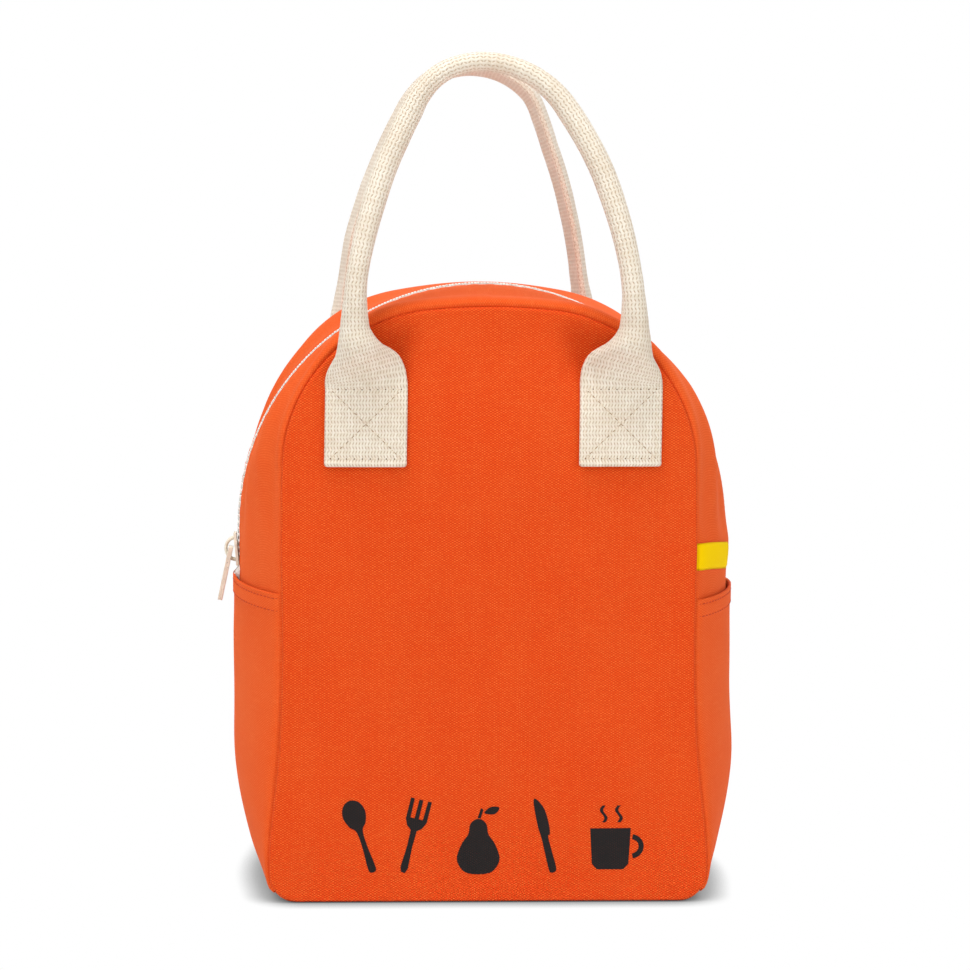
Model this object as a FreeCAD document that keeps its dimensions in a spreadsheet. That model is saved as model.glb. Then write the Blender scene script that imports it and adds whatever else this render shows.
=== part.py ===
import FreeCAD, Part
import math
import os
import Sketcher
from FreeCAD import Placement, Rotation, Vector

# A soft dome-topped lunch bag. Millimetres, +Z up, the front faces -Y.
# The origin is the centre of the base, on the surface that the bag stands on.

SIZES = {
    # walls, from the outside in
    "depth": 115.0,
    "canvas": 1.0,
    "foam": 3.0,
    "lining": 0.4,
    "layer_gap": 0.15,
    "base_flat": 0.3,
    # outline of the front and back seams
    "seam_crest": 234.7,
    "seam_crest_radius": 230.0,
    "seam_shoulder_radius": 62.5,
    "seam_half_width": 80.7,
    "seam_lean": 2.1,
    "seam_lower_radius": 60.0,
    "seam_lower_turn": 6.0,
    # outline of the full shoulders, between the seams and the zip
    "dome_station": 32.0,
    "dome_crest": 244.0,
    "dome_crest_radius": 160.0,
    "dome_shoulder_radius": 76.0,
    "dome_half_width": 94.5,
    "dome_lower_radius": 147.0,
    "dome_lower_turn": 17.0,
    # outline at mid depth, where the zip runs on a half circle
    "arch_height": 143.0,
    "zip_radius": 100.0,
    "arch_crest_span": 44.0,
    "arch_lower_radius": 147.0,
    "arch_lower_turn": 22.0,
    "corner_radius": 11.0,
    # fold of the front between the two ends of the zip, below the axis of the arch
    "fold_drop": 17.0,
    "fold_gap": 0.4,
    # binding over the inner seams
    "binding_width": 3.0,
    "binding_depth": 2.0,
    # slip pockets on the sides, from just below the fold
    "pocket_drop": 3.5,
    "pocket_foot": 4.0,
    "pocket_gape": 1.3,
    # zip
    "zip_slot": 11.0,
    "tape": 0.5,
    "tape_inner": 3.2,
    "tape_outer": 14.0,
    "pad_edge": 15.0,
    "row_gap": 1.2,
    "row_outer": 3.0,
    "row_spine": 0.8,
    "tooth_sink": 0.3,
    "tooth_height": 2.0,
    "tooth_thickness": 1.4,
    "tooth_pitch": 2.6,
    "stop_length": 1.8,
    "stop_clearance": 0.4,
    # slider
    "slider_turn": 5.0,
    "slider_length": 13.6,
    "slider_width": 8.0,
    "slider_tail": 5.6,
    "slider_plate": 1.2,
    "slider_lift": 0.5,
    "slider_channel": 5.1,
    "post_width": 0.8,
    "post_length": 4.0,
    "bridge_length": 8.4,
    "bridge_width": 2.4,
    "bridge_bar": 0.9,
    "bridge_height": 2.9,
    # pull
    "pull_length": 22.5,
    "pull_width": 6.0,
    "pull_thickness": 1.6,
    "pull_bar": 1.1,
    "pull_eye": 4.9,
    "pull_arm": 1.2,
    "pull_lean": 12.0,
    "pull_corner": 2.0,
    # side tag, above the fold
    "tag_rise": 6.5,
    "tag_height": 10.7,
    "tag_length": 32.0,
    "tag_thickness": 0.8,
    # handles
    "webbing_width": 32.0,
    "webbing": 1.8,
    "webbing_gap": 0.3,
    "webbing_edge": 0.6,
    "tab_bottom": 172.0,
    "tab_height": 31.4,
    "tab_corner": 1.5,
    "tab_half_spacing": 49.5,
    "neck_rise": 24.6,
    "leg_half_spacing": 54.0,
    "handle_side_radius": 170.0,
    "handle_top_radius": 36.0,
    "strap_width": 7.5,
    "strap_depth": 14.0,
    "strap_corner": 3.0,
    "handle_gap": 0.2,
}

RIGHT, LEFT = 1, -1
FRONT, BACK = -1, 1
VERTICAL_AXIS = -2
ORIGIN = (-1, 1)

doc = FreeCAD.newDocument("LunchBag")
sheet = doc.addObject("Spreadsheet::Sheet", "Sizes")
for row, (alias, size) in enumerate(SIZES.items(), start=1):
    sheet.set(f"A{row}", alias)
    sheet.set(f"B{row}", str(size))
    sheet.setAlias(f"B{row}", alias)
doc.recompute()

nodes = []


def total(*terms):
    """Value and expression of a sum of sizes; a minus before a name subtracts it."""
    value = 0.0
    text = "0"
    for term in terms:
        alias = term.lstrip("-")
        sign = "-" if term.startswith("-") else "+"
        value += -SIZES[alias] if sign == "-" else SIZES[alias]
        text += f" {sign} Sizes.{alias}"
    return value, text


def node(label, feature):
    feature.Label = label
    nodes.append(feature)
    return feature


def bind(feature, **expressions):
    for name, text in expressions.items():
        feature.setExpression(name.replace("__", "."), text)
    return feature


def constrain(sketch, rules, sized):
    """Add plain rules, and named rules whose values follow the sheet."""
    named = [rule for rule, _ in sized.values()]
    added = sketch.addConstraint([Sketcher.Constraint(*rule) for rule in rules + named])
    for index, (name, (_, text)) in zip(added[len(rules):], sized.items()):
        sketch.renameConstraint(index, name)
        sketch.setExpression(f"Constraints.{name}", text)


def arc(centre, radius, start, end):
    circle = Part.Circle(Vector(centre[0], centre[1], 0), Vector(0, 0, 1), radius)
    return Part.ArcOfCircle(circle, math.radians(start), math.radians(end))


def line(start, end):
    return Part.LineSegment(Vector(start[0], start[1], 0), Vector(end[0], end[1], 0))


def polar(centre, radius, angle):
    turn = math.radians(angle)
    return (centre[0] + radius * math.cos(turn), centre[1] + radius * math.sin(turn))


def upright_sketch(name, station):
    """A sketch in the XZ plane, moved to a station along the depth."""
    sketch = doc.addObject("Sketcher::SketchObject", name)
    sketch.Placement = Placement(Vector(0, 0, 0), Rotation(Vector(1, 0, 0), 90))
    return bind(sketch, Placement__Base__y=station)


# Outlines of the bag across its width

def section_values(section):
    """Sizes of one outline, and the angle where its crest arc meets its shoulder arc."""
    if section == "arch":
        radius = SIZES["zip_radius"]
        return {"crest": SIZES["arch_height"] + radius, "top": radius, "shoulder": radius, "lean": 0.0,
                "meet": 90 - SIZES["arch_crest_span"] / 2}
    lean = SIZES["seam_lean"] if section == "seam" else 0.0
    top = SIZES[f"{section}_crest_radius"]
    shoulder = SIZES[f"{section}_shoulder_radius"]
    reach = SIZES[f"{section}_half_width"] - shoulder * math.cos(math.radians(lean))
    return {"crest": SIZES[f"{section}_crest"], "top": top, "shoulder": shoulder, "lean": lean,
            "meet": math.degrees(math.acos(reach / (top - shoulder)))}


def right_half(section, inset):
    """Arcs and line of the right half of an outline, from the base to the crest."""
    values = section_values(section)
    lean = values["lean"]
    turn = SIZES[f"{section}_lower_turn"]
    lower = SIZES[f"{section}_lower_radius"]
    corner = SIZES["corner_radius"]
    top_centre = (0.0, values["crest"] - values["top"])
    shoulder_centre = polar(top_centre, values["top"] - values["shoulder"], values["meet"])
    spring = polar(shoulder_centre, values["shoulder"] - inset, lean)
    lean_turn = math.radians(lean)
    drop = lower * math.sin(lean_turn) + (lower - corner) * math.sin(math.radians(turn)) + corner
    side = shoulder_centre[1] + values["shoulder"] * math.sin(lean_turn) - drop + SIZES["base_flat"]
    side /= math.cos(lean_turn)
    foot = (spring[0] + side * math.sin(lean_turn), spring[1] - side * math.cos(lean_turn))
    lower_centre = polar(foot, inset - lower, lean)
    corner_centre = polar(lower_centre, lower - corner, -turn)
    return [
        arc(corner_centre, corner - inset, -90, -turn),
        arc(lower_centre, lower - inset, -turn, lean),
        line(foot, spring),
        arc(shoulder_centre, values["shoulder"] - inset, lean, values["meet"]),
        arc(top_centre, values["top"] - inset, values["meet"], 180 - values["meet"]),
    ]


def mirrored(edge):
    """The same edge on the left half, still running anticlockwise."""
    if isinstance(edge, Part.LineSegment):
        start, end = edge.EndPoint, edge.StartPoint
        return line((-start.x, start.y), (-end.x, end.y))
    first, last = math.degrees(edge.FirstParameter), math.degrees(edge.LastParameter)
    return arc((-edge.Center.x, edge.Center.y), edge.Radius, 180 - last, 180 - first)


def outline(name, section, station, inset):
    """Closed sketch of ten tangent edges: base, then corner, flank, side and shoulder, crest, and back."""
    depth, depth_text = total(*inset)
    half = right_half(section, depth)
    start = half[0].StartPoint
    base = line((-start.x, start.y), (start.x, start.y))
    edges = [base] + half + [mirrored(edge) for edge in reversed(half[:4])]
    values = section_values(section)
    crest = Part.Point(Vector(0, values["crest"] - depth, 0))
    sketch = upright_sketch(name, station)
    sketch.addGeometry(edges)
    point = sketch.addGeometry(crest, True)
    count = len(edges)
    # the arch has one circle for its crest and both shoulders, so those edges share a centre
    joined = "Coincident" if section == "arch" else "Tangent"
    rules = [(joined if i in (4, 5) else "Tangent", i, 2, (i + 1) % count, 1) for i in range(count)]
    rules += [
        ("Symmetric", 0, 1, 0, 2, VERTICAL_AXIS),
        ("PointOnObject", 5, 3, VERTICAL_AXIS),
        ("PointOnObject", point, 1, VERTICAL_AXIS),
        ("PointOnObject", point, 1, 5),
        ("Equal", 2, 8),
        ("Equal", 1, 9),
    ]
    if section == "arch":
        rules += [("Coincident", 4, 3, 5, 3), ("Coincident", 6, 3, 5, 3), ("Horizontal", 5, 1, 5, 2),
                  ("Parallel", 3, 7)]
    else:
        rules += [("Equal", 4, 6), ("Symmetric", 3, 2, 7, 1, VERTICAL_AXIS)]
    lower, turn = f"Sizes.{section}_lower_radius", f"Sizes.{section}_lower_turn"
    lean_text = "Sizes.seam_lean * 1 deg" if section == "seam" else "0 deg"
    if section == "arch":
        top_text = "Sizes.zip_radius"
        crest_text = "Sizes.arch_height + Sizes.zip_radius"
        span = math.radians(SIZES["arch_crest_span"])
        sized = {"span": (("Angle", 5, span), "Sizes.arch_crest_span * 1 deg")}
    else:
        top_text = f"Sizes.{section}_crest_radius"
        crest_text = f"Sizes.{section}_crest"
        sized = {
            "shoulder": (("Radius", 4, half[3].Radius), f"Sizes.{section}_shoulder_radius - ({depth_text})"),
            "width": (("DistanceX", *ORIGIN, 3, 2, half[2].EndPoint.x),
                      f"Sizes.{section}_half_width - ({depth_text}) * cos({lean_text})"),
        }
    bottom_up = values["crest"] - depth - start.y
    side_angle = math.radians(90 + values["lean"])
    flank = half[1].LastParameter - half[1].FirstParameter
    constrain(sketch, rules, {
        "crest": (("DistanceY", *ORIGIN, point, 1, values["crest"] - depth), f"{crest_text} - ({depth_text})"),
        "height": (("DistanceY", 0, 1, point, 1, bottom_up),
                   f"{crest_text} + Sizes.base_flat - 2 * ({depth_text})"),
        "top": (("Radius", 5, half[4].Radius), f"{top_text} - ({depth_text})"),
        "lower": (("Radius", 2, half[1].Radius), f"{lower} - ({depth_text})"),
        "corner": (("Radius", 1, half[0].Radius), f"Sizes.corner_radius - ({depth_text})"),
        "side": (("Angle", 3, side_angle), f"90 deg + {lean_text}"),
        "flank": (("Angle", 2, flank), f"{turn} * 1 deg + {lean_text}"),
        **sized,
    })
    return sketch


def hull(name, seam_inset, dome_inset=None, arch_inset=None):
    """Solid through the five outlines from the front seam to the back seam."""
    dome_inset = dome_inset or seam_inset
    arch_inset = arch_inset or seam_inset
    stations = [
        ("seam", "-Sizes.depth / 2", seam_inset),
        ("dome", "-Sizes.dome_station", dome_inset),
        ("arch", "0", arch_inset),
        ("dome", "Sizes.dome_station", dome_inset),
        ("seam", "Sizes.depth / 2", seam_inset),
    ]
    loft = doc.addObject("Part::Loft", name)
    loft.Sections = [outline(f"{name}_{i}", *station) for i, station in enumerate(stations)]
    loft.Solid = True
    return loft


def cut(name, base, tool):
    feature = doc.addObject("Part::Cut", name)
    feature.Base = base
    feature.Tool = tool
    return feature


def common(name, base, tool):
    feature = doc.addObject("Part::Common", name)
    feature.Base = base
    feature.Tool = tool
    return feature


def block(name, x, y, z):
    """Box between two expressions on each axis."""
    box = doc.addObject("Part::Box", name)
    return bind(box, Length=f"({x[1]}) - ({x[0]})", Width=f"({y[1]}) - ({y[0]})", Height=f"({z[1]}) - ({z[0]})",
                Placement__Base__x=x[0], Placement__Base__y=y[0], Placement__Base__z=z[0])


# Regions that the walls are cut to

WIDE = ("-2 * Sizes.zip_radius", "2 * Sizes.zip_radius")
FOLD = "(Sizes.arch_height - Sizes.fold_drop)"
ABOVE_FOLD = (f"{FOLD} + Sizes.fold_gap / 2", "2 * Sizes.seam_crest")
BELOW_FOLD = ("0", f"{FOLD} - Sizes.fold_gap / 2")
ALL_HEIGHT = ("0", "2 * Sizes.seam_crest")


def side_range(side, near, far):
    """Range along the depth, on the front or the back, between two distances from mid depth."""
    return (f"-({far})", f"-({near})") if side == FRONT else (near, far)


# Walls of the gusset: canvas outside, foam, lining

PANEL_FACE = "Sizes.depth / 2"
FOAM_END = "Sizes.depth / 2 - Sizes.foam - 2 * Sizes.layer_gap"
LINING_END = "Sizes.depth / 2 - Sizes.foam - Sizes.lining - 3 * Sizes.layer_gap"
CANVAS_INNER = ("canvas",)
FOAM_OUTER = ("canvas", "layer_gap")
FOAM_INNER = ("canvas", "layer_gap", "foam")
LINING_OUTER = ("canvas", "layer_gap", "foam", "layer_gap")
LINING_INNER = ("canvas", "layer_gap", "foam", "layer_gap", "lining")
SIDE_NAMES = {FRONT: "front", BACK: "back"}


def gusset_layer(name, outer, inner, end, near_zip, lower_label, strip_label):
    """One layer of the gusset: a strip round the sides and base, and a strip on each side of the zip."""
    ring = cut(f"{name}_ring", hull(f"{name}_outer", outer), hull(f"{name}_inner", inner))
    lower = block(f"{name}_lower_space", WIDE, (f"-({end})", end), BELOW_FOLD)
    node(lower_label, common(f"{name}_lower", ring, lower))
    for side in (FRONT, BACK):
        word = SIDE_NAMES[side]
        space = block(f"{name}_{word}_space", WIDE, side_range(side, near_zip, end), ABOVE_FOLD)
        node(strip_label.format(word), common(f"{name}_{word}", ring, space))


gusset_layer("canvas_wall", (), CANVAS_INNER, PANEL_FACE, "Sizes.zip_slot / 2", "lower_gusset", "{}_zip_strip")
gusset_layer("foam_wall", FOAM_OUTER, FOAM_INNER, FOAM_END, "Sizes.pad_edge", "gusset_foam", "{}_top_foam")
gusset_layer("lining_wall", LINING_OUTER, LINING_INNER, LINING_END, "Sizes.pad_edge", "gusset_lining",
             "{}_top_lining")


# Panels: flat layers at the front and the back

def panel_layer(name, inset, start, thickness):
    """Front and back sheets of one layer; the front sheet is divided at its fold."""
    for side in (FRONT, BACK):
        word = SIDE_NAMES[side]
        whole = doc.addObject("Part::Extrusion", f"{name}_{word}")
        whole.Base = outline(f"{name}_{word}_outline", "seam", f"{side} * ({start})", inset)
        whole.DirMode = "Custom"
        whole.Dir = Vector(0, side, 0)
        whole.Solid = True
        bind(whole, LengthFwd=thickness)
        divide_front(f"{word}_{name}", side, whole, ("-Sizes.depth", "Sizes.depth"))


def divide_front(label, side, whole, depth):
    """A back piece is one node; a front piece is two, above and below the fold."""
    regions = {label: ALL_HEIGHT}
    if side == FRONT:
        regions = {f"{label}_upper": ABOVE_FOLD, f"{label}_lower": BELOW_FOLD}
    for part_label, height in regions.items():
        node(part_label, common(f"{part_label}_trim", whole, block(f"{part_label}_space", WIDE, depth, height)))


def bindings():
    """Strips over the inner seams, against the lining all round."""
    outer = LINING_INNER + ("layer_gap",)
    ring = cut("binding_ring", hull("binding_outer", outer), hull("binding_inner", outer + ("binding_width",)))
    for side in (FRONT, BACK):
        depth = side_range(side, f"{LINING_END} - Sizes.binding_depth", LINING_END)
        divide_front(f"{SIDE_NAMES[side]}_binding", side, ring, depth)


panel_layer("panel", (), PANEL_FACE, "Sizes.canvas")
panel_layer("foam", FOAM_OUTER, "Sizes.depth / 2 - Sizes.foam - Sizes.layer_gap", "Sizes.foam")
panel_layer("lining", LINING_OUTER, "Sizes.depth / 2 - Sizes.foam - Sizes.lining - 2 * Sizes.layer_gap",
            "Sizes.lining")
bindings()


# Slip pockets: canvas over the sides, sewn flat at the seams and gaping at mid depth

def pockets():
    inner = hull("pocket_inner", ("-layer_gap",), ("-pocket_gape",), ("-pocket_gape",))
    outer = hull("pocket_outer", ("-layer_gap", "-canvas"), ("-pocket_gape", "-canvas"),
                 ("-pocket_gape", "-canvas"))
    ring = cut("pocket_ring", outer, inner)
    depth = (f"-({PANEL_FACE})", PANEL_FACE)
    height = ("Sizes.pocket_foot", f"{FOLD} - Sizes.pocket_drop")
    for word, width in (("left", (WIDE[0], "0")), ("right", ("0", WIDE[1]))):
        space = block(f"{word}_pocket_space", width, depth, height)
        node(f"{word}_pocket", common(f"{word}_pocket_trim", ring, space))


pockets()


# Side tag: a folded ribbon from the right front seam back along the gusset

def side_tag():
    ring = cut("tag_ring", hull("tag_outer", ("-layer_gap", "-tag_thickness")), hull("tag_inner", ("-layer_gap",)))
    depth = (f"-({PANEL_FACE})", f"Sizes.tag_length - {PANEL_FACE}")
    height = (f"{FOLD} + Sizes.tag_rise", f"{FOLD} + Sizes.tag_rise + Sizes.tag_height")
    node("side_tag", common("tag_trim", ring, block("tag_space", ("0", WIDE[1]), depth, height)))


side_tag()


# Zip tapes, under the edges of the zip strips

def zip_tapes():
    ring = cut("tape_ring", hull("tape_outer_hull", FOAM_OUTER), hull("tape_inner_hull", FOAM_OUTER + ("tape",)))
    for side in (FRONT, BACK):
        word = SIDE_NAMES[side]
        depth = side_range(side, "Sizes.tape_inner", "Sizes.tape_outer")
        space = block(f"{word}_tape_space", WIDE, depth, ABOVE_FOLD)
        node(f"{word}_zip_tape", common(f"{word}_tape_trim", ring, space))


zip_tapes()


# Zip rows, stops, slider and pull turn about the axis of the arch, so their bodies have it as their origin.
# In each body the zip runs up from the -X side: X is along the radius, Z along the zip and Y across it.

START_TEXT = "asin((Sizes.fold_drop - Sizes.fold_gap / 2) / Sizes.zip_radius)"
STOP_TURN_TEXT = "(Sizes.stop_length + Sizes.stop_clearance) / Sizes.zip_radius * 1 rad"
ROW_INNER = "Sizes.row_gap / 2"
TOOTH_TOP = "Sizes.zip_radius - Sizes.tooth_sink"
TOOTH_FOOT = "Sizes.zip_radius - Sizes.tooth_sink - Sizes.tooth_height"


def number(text):
    """Value of a length expression of the sheet's sizes."""
    return float(FreeCAD.Units.Quantity(sheet.evalExpression(text)).Value)


def arch_body(label, turn):
    """Body at the axis of the arch, turned along the zip by an angle."""
    body = doc.addObject("PartDesign::Body", label)
    body.AllowCompound = True
    body.Placement = Placement(Vector(0, 0, 0), Rotation(Vector(0, 1, 0), 1))
    bind(body, Placement__Base__z="Sizes.arch_height", Placement__Rotation__Angle=turn)
    return node(label, body)


def origin_feature(body, role):
    return next(item for item in body.Origin.OriginFeatures if item.Role == role)


def body_sketch(body, name, plane, offset="0"):
    sketch = body.newObject("Sketcher::SketchObject", name)
    sketch.AttachmentSupport = [(origin_feature(body, plane), "")]
    sketch.MapMode = "FlatFace"
    return bind(sketch, AttachmentOffset__Base__z=offset)


def corner_rule(axis, geometry, end, text):
    """Distance of a point from the sketch's origin, measured in the direction that makes it positive."""
    value = number(text)
    if value < 0:
        return ((axis, geometry, end, *ORIGIN, -value), f"-({text})")
    return ((axis, *ORIGIN, geometry, end, value), text)


def polygon(sketch, points):
    """Closed outline through points given as pairs of expressions."""
    values = [(number(x), number(y)) for x, y in points]
    first = sketch.GeometryCount
    count = len(points)
    sketch.addGeometry([line(values[i], values[(i + 1) % count]) for i in range(count)])
    rules = [("Coincident", first + i, 2, first + (i + 1) % count, 1) for i in range(count)]
    sized = {}
    for i, (x, y) in enumerate(points):
        sized[f"across_{first + i}"] = corner_rule("DistanceX", first + i, 1, x)
        sized[f"along_{first + i}"] = corner_rule("DistanceY", first + i, 1, y)
    constrain(sketch, rules, sized)


def rectangle(sketch, x, y):
    polygon(sketch, [(x[0], y[0]), (x[1], y[0]), (x[1], y[1]), (x[0], y[1])])


def pad(body, name, sketch, length, midplane=False, backwards=False):
    feature = body.newObject("PartDesign::Pad", name)
    feature.Profile = sketch
    feature.Midplane = midplane
    feature.Reversed = backwards
    return bind(feature, Length=length)


def zip_row(side):
    """One row: a spine along the edge of the tape, and teeth patterned along it."""
    word = SIDE_NAMES[side]
    body = arch_body(f"{word}_zip_teeth", f"{STOP_TURN_TEXT} - {START_TEXT}")
    radius = (f"-({TOOTH_TOP})", f"-({TOOTH_FOOT})")
    spine_inner = "Sizes.row_outer - Sizes.row_spine"
    span = f"180 deg + 2 * {START_TEXT} - 2 * ({STOP_TURN_TEXT})"
    profile = body_sketch(body, f"{word}_spine_profile", "XY_Plane")
    rectangle(profile, radius, side_range(side, spine_inner, "Sizes.row_outer"))
    spine = body.newObject("PartDesign::Revolution", f"{word}_spine")
    spine.Profile = profile
    spine.ReferenceAxis = (profile, ["V_Axis"])
    bind(spine, Angle=span)
    tooth_profile = body_sketch(body, f"{word}_tooth_profile", "XY_Plane")
    rectangle(tooth_profile, radius, side_range(side, ROW_INNER, spine_inner))
    tooth = pad(body, f"{word}_tooth", tooth_profile, "Sizes.tooth_thickness")
    row = body.newObject("PartDesign::PolarPattern", f"{word}_row")
    row.Originals = [tooth]
    row.Axis = (origin_feature(body, "Y_Axis"), [""])
    tooth_turn = "(Sizes.tooth_thickness / Sizes.zip_radius) * 1 rad"
    pitch_turn = "(Sizes.tooth_pitch / Sizes.zip_radius * 1 rad)"
    bind(row, Angle=f"{span} - {tooth_turn}", Occurrences=f"floor(({span} - {tooth_turn}) / {pitch_turn}) + 1")
    body.Tip = row


def zip_stop(label, turn, depth):
    """Block that ends a row, between the last tooth and the fold."""
    body = arch_body(label, turn)
    profile = body_sketch(body, f"{label}_profile", "XY_Plane")
    rectangle(profile, (f"-({TOOTH_TOP})", f"-({TOOTH_FOOT})"), depth)
    pad(body, f"{label}_block", profile, "Sizes.stop_length")


zip_row(FRONT)
zip_row(BACK)
zip_stop("front_zip_stop", f"-{START_TEXT}", side_range(FRONT, ROW_INNER, "Sizes.row_outer"))
zip_stop("back_zip_stop", f"-{START_TEXT}", side_range(BACK, ROW_INNER, "Sizes.row_outer"))
zip_stop("zip_end_stop", f"180 deg + {START_TEXT} - Sizes.stop_length / Sizes.zip_radius * 1 rad",
         ("-Sizes.row_outer", "Sizes.row_outer"))

SLIDER_TURN = f"Sizes.slider_turn * 1 deg - {START_TEXT}"
PLATE_FOOT = "(Sizes.zip_radius + Sizes.slider_lift)"
PLATE_TOP = "(Sizes.zip_radius + Sizes.slider_lift + Sizes.slider_plate)"
CHANNEL_FOOT = "(Sizes.zip_radius + Sizes.slider_lift - Sizes.slider_channel)"
PIVOT_RADIUS = f"({PLATE_TOP} + Sizes.bridge_height / 2)"


def zip_slider():
    """Two plates joined by a post between the rows at the wide end, and a bridge on top for the pull."""
    body = arch_body("zip_slider", SLIDER_TURN)
    half_length, half_width, half_tail = "Sizes.slider_length / 2", "Sizes.slider_width / 2", "Sizes.slider_tail / 2"

    def plate(name, radius):
        sketch = body_sketch(body, f"{name}_outline", "YZ_Plane", f"-{radius}")
        waist, nose = "-Sizes.slider_length / 8", f"Sizes.slider_plate - {half_length}"
        polygon(sketch, [
            (half_tail, half_length), (f"-{half_tail}", half_length),
            (f"-{half_width}", waist), (f"-{half_width}", nose),
            (f"Sizes.slider_plate - {half_width}", f"-{half_length}"),
            (f"{half_width} - Sizes.slider_plate", f"-{half_length}"),
            (half_width, nose), (half_width, waist),
        ])
        return pad(body, name, sketch, "Sizes.slider_plate", backwards=True)

    plate("top_plate", PLATE_FOOT)
    post = body_sketch(body, "post_outline", "YZ_Plane", f"-{CHANNEL_FOOT}")
    rectangle(post, ("-Sizes.post_width / 2", "Sizes.post_width / 2"),
              (f"-{half_length}", f"Sizes.post_length - {half_length}"))
    pad(body, "post", post, "Sizes.slider_channel", backwards=True)
    plate("lower_plate", f"({CHANNEL_FOOT} - Sizes.slider_plate)")
    side_view = body_sketch(body, "bridge_outline", "XZ_Plane")
    foot, crown = f"-{PLATE_TOP}", f"-({PLATE_TOP} + Sizes.bridge_height + Sizes.bridge_bar)"
    half_bridge = "Sizes.bridge_length / 2"
    slope = "Sizes.bridge_bar"
    roof = f"-({PLATE_TOP} + Sizes.bridge_height)"
    polygon(side_view, [
        (foot, f"-{half_bridge}"), (crown, f"{slope} - {half_bridge}"),
        (crown, f"{half_bridge} - {slope}"), (foot, half_bridge),
        (foot, f"{half_bridge} - Sizes.bridge_bar"), (roof, f"{half_bridge} - 2 * {slope}"),
        (roof, f"2 * {slope} - {half_bridge}"), (foot, f"Sizes.bridge_bar - {half_bridge}"),
    ])
    pad(body, "bridge", side_view, "Sizes.bridge_width", midplane=True)


def zip_pull():
    """Flat tab with an eye; its cross bar goes through the bridge and is the axis that it swings on."""
    body = doc.addObject("PartDesign::Body", "zip_pull")
    node("zip_pull", body)
    # the body's origin is the pivot; the tab hangs along -Z and leans out from the zip
    body.Placement = Placement(Vector(0, 0, 0), Rotation(Vector(0, 1, 0), 1))
    bind(body,
         Placement__Base__x=f"-{PIVOT_RADIUS} * cos({SLIDER_TURN})",
         Placement__Base__z=f"Sizes.arch_height + {PIVOT_RADIUS} * sin({SLIDER_TURN})",
         Placement__Rotation__Angle=f"{SLIDER_TURN} + Sizes.pull_lean * 1 deg")
    half = "Sizes.pull_width / 2"
    bar = body_sketch(body, "cross_bar_section", "XZ_Plane")
    circle = bar.addGeometry(Part.Circle(Vector(0, 0, 0), Vector(0, 0, 1), SIZES["pull_bar"] / 2))
    constrain(bar, [("Coincident", circle, 3, *ORIGIN)],
              {"thickness": (("Diameter", circle, SIZES["pull_bar"]), "Sizes.pull_bar")})
    pad(body, "cross_bar", bar, "Sizes.pull_width", midplane=True)
    face = body_sketch(body, "pull_outline", "YZ_Plane")
    eye_half = f"({half} - Sizes.pull_arm)"
    taper = "Sizes.pull_corner"
    polygon(face, [
        (f"-{half}", "0"), (f"-{eye_half}", "0"), (f"-{eye_half}", "-Sizes.pull_eye"),
        (eye_half, "-Sizes.pull_eye"), (eye_half, "0"), (half, "0"),
        (half, f"{taper} - Sizes.pull_length"), (f"{half} - {taper}", "-Sizes.pull_length"),
        (f"{taper} - {half}", "-Sizes.pull_length"), (f"-{half}", f"{taper} - Sizes.pull_length"),
    ])
    pad(body, "tab", face, "Sizes.pull_thickness", midplane=True)


zip_slider()
zip_pull()


# Handles: webbing lies flat on the panel at both ends and is folded lengthwise in between

def rounded(name, centre, width, depth, corner, height):
    """Level rounded rectangle of eight tangent edges about a centre given as expressions."""
    sketch = doc.addObject("Sketcher::SketchObject", name)
    bind(sketch, Placement__Base__x=centre[0], Placement__Base__y=centre[1], Placement__Base__z=height)
    radius = number(corner)
    x, y = number(width) / 2, number(depth) / 2
    inner_x, inner_y = x - radius, y - radius
    sketch.addGeometry([
        line((-inner_x, -y), (inner_x, -y)), arc((inner_x, -inner_y), radius, -90, 0),
        line((x, -inner_y), (x, inner_y)), arc((inner_x, inner_y), radius, 0, 90),
        line((inner_x, y), (-inner_x, y)), arc((-inner_x, inner_y), radius, 90, 180),
        line((-x, inner_y), (-x, -inner_y)), arc((-inner_x, -inner_y), radius, 180, 270),
    ])
    rules = [("Tangent", i, 2, (i + 1) % 8, 1) for i in range(8)]
    rules += [("Horizontal", 0), ("Horizontal", 4), ("Vertical", 2), ("Vertical", 6)]
    rules += [("Equal", 1, i) for i in (3, 5, 7)]
    rules += [("Symmetric", 0, 1, 4, 1, *ORIGIN)]
    constrain(sketch, rules, {
        "corner": (("Radius", 1, radius), corner),
        "width": (("DistanceX", 6, 1, 2, 1, 2 * x), width),
        "depth": (("DistanceY", 0, 1, 4, 1, 2 * y), depth),
    })
    return sketch


WEBBING_BACK = "Sizes.depth / 2 + Sizes.canvas + Sizes.webbing_gap"
STRAP_MIDDLE = f"({WEBBING_BACK} + Sizes.strap_depth / 2)"
TAB_TOP = "(Sizes.tab_bottom + Sizes.tab_height)"
NECK = f"({TAB_TOP} + Sizes.neck_rise)"


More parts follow.
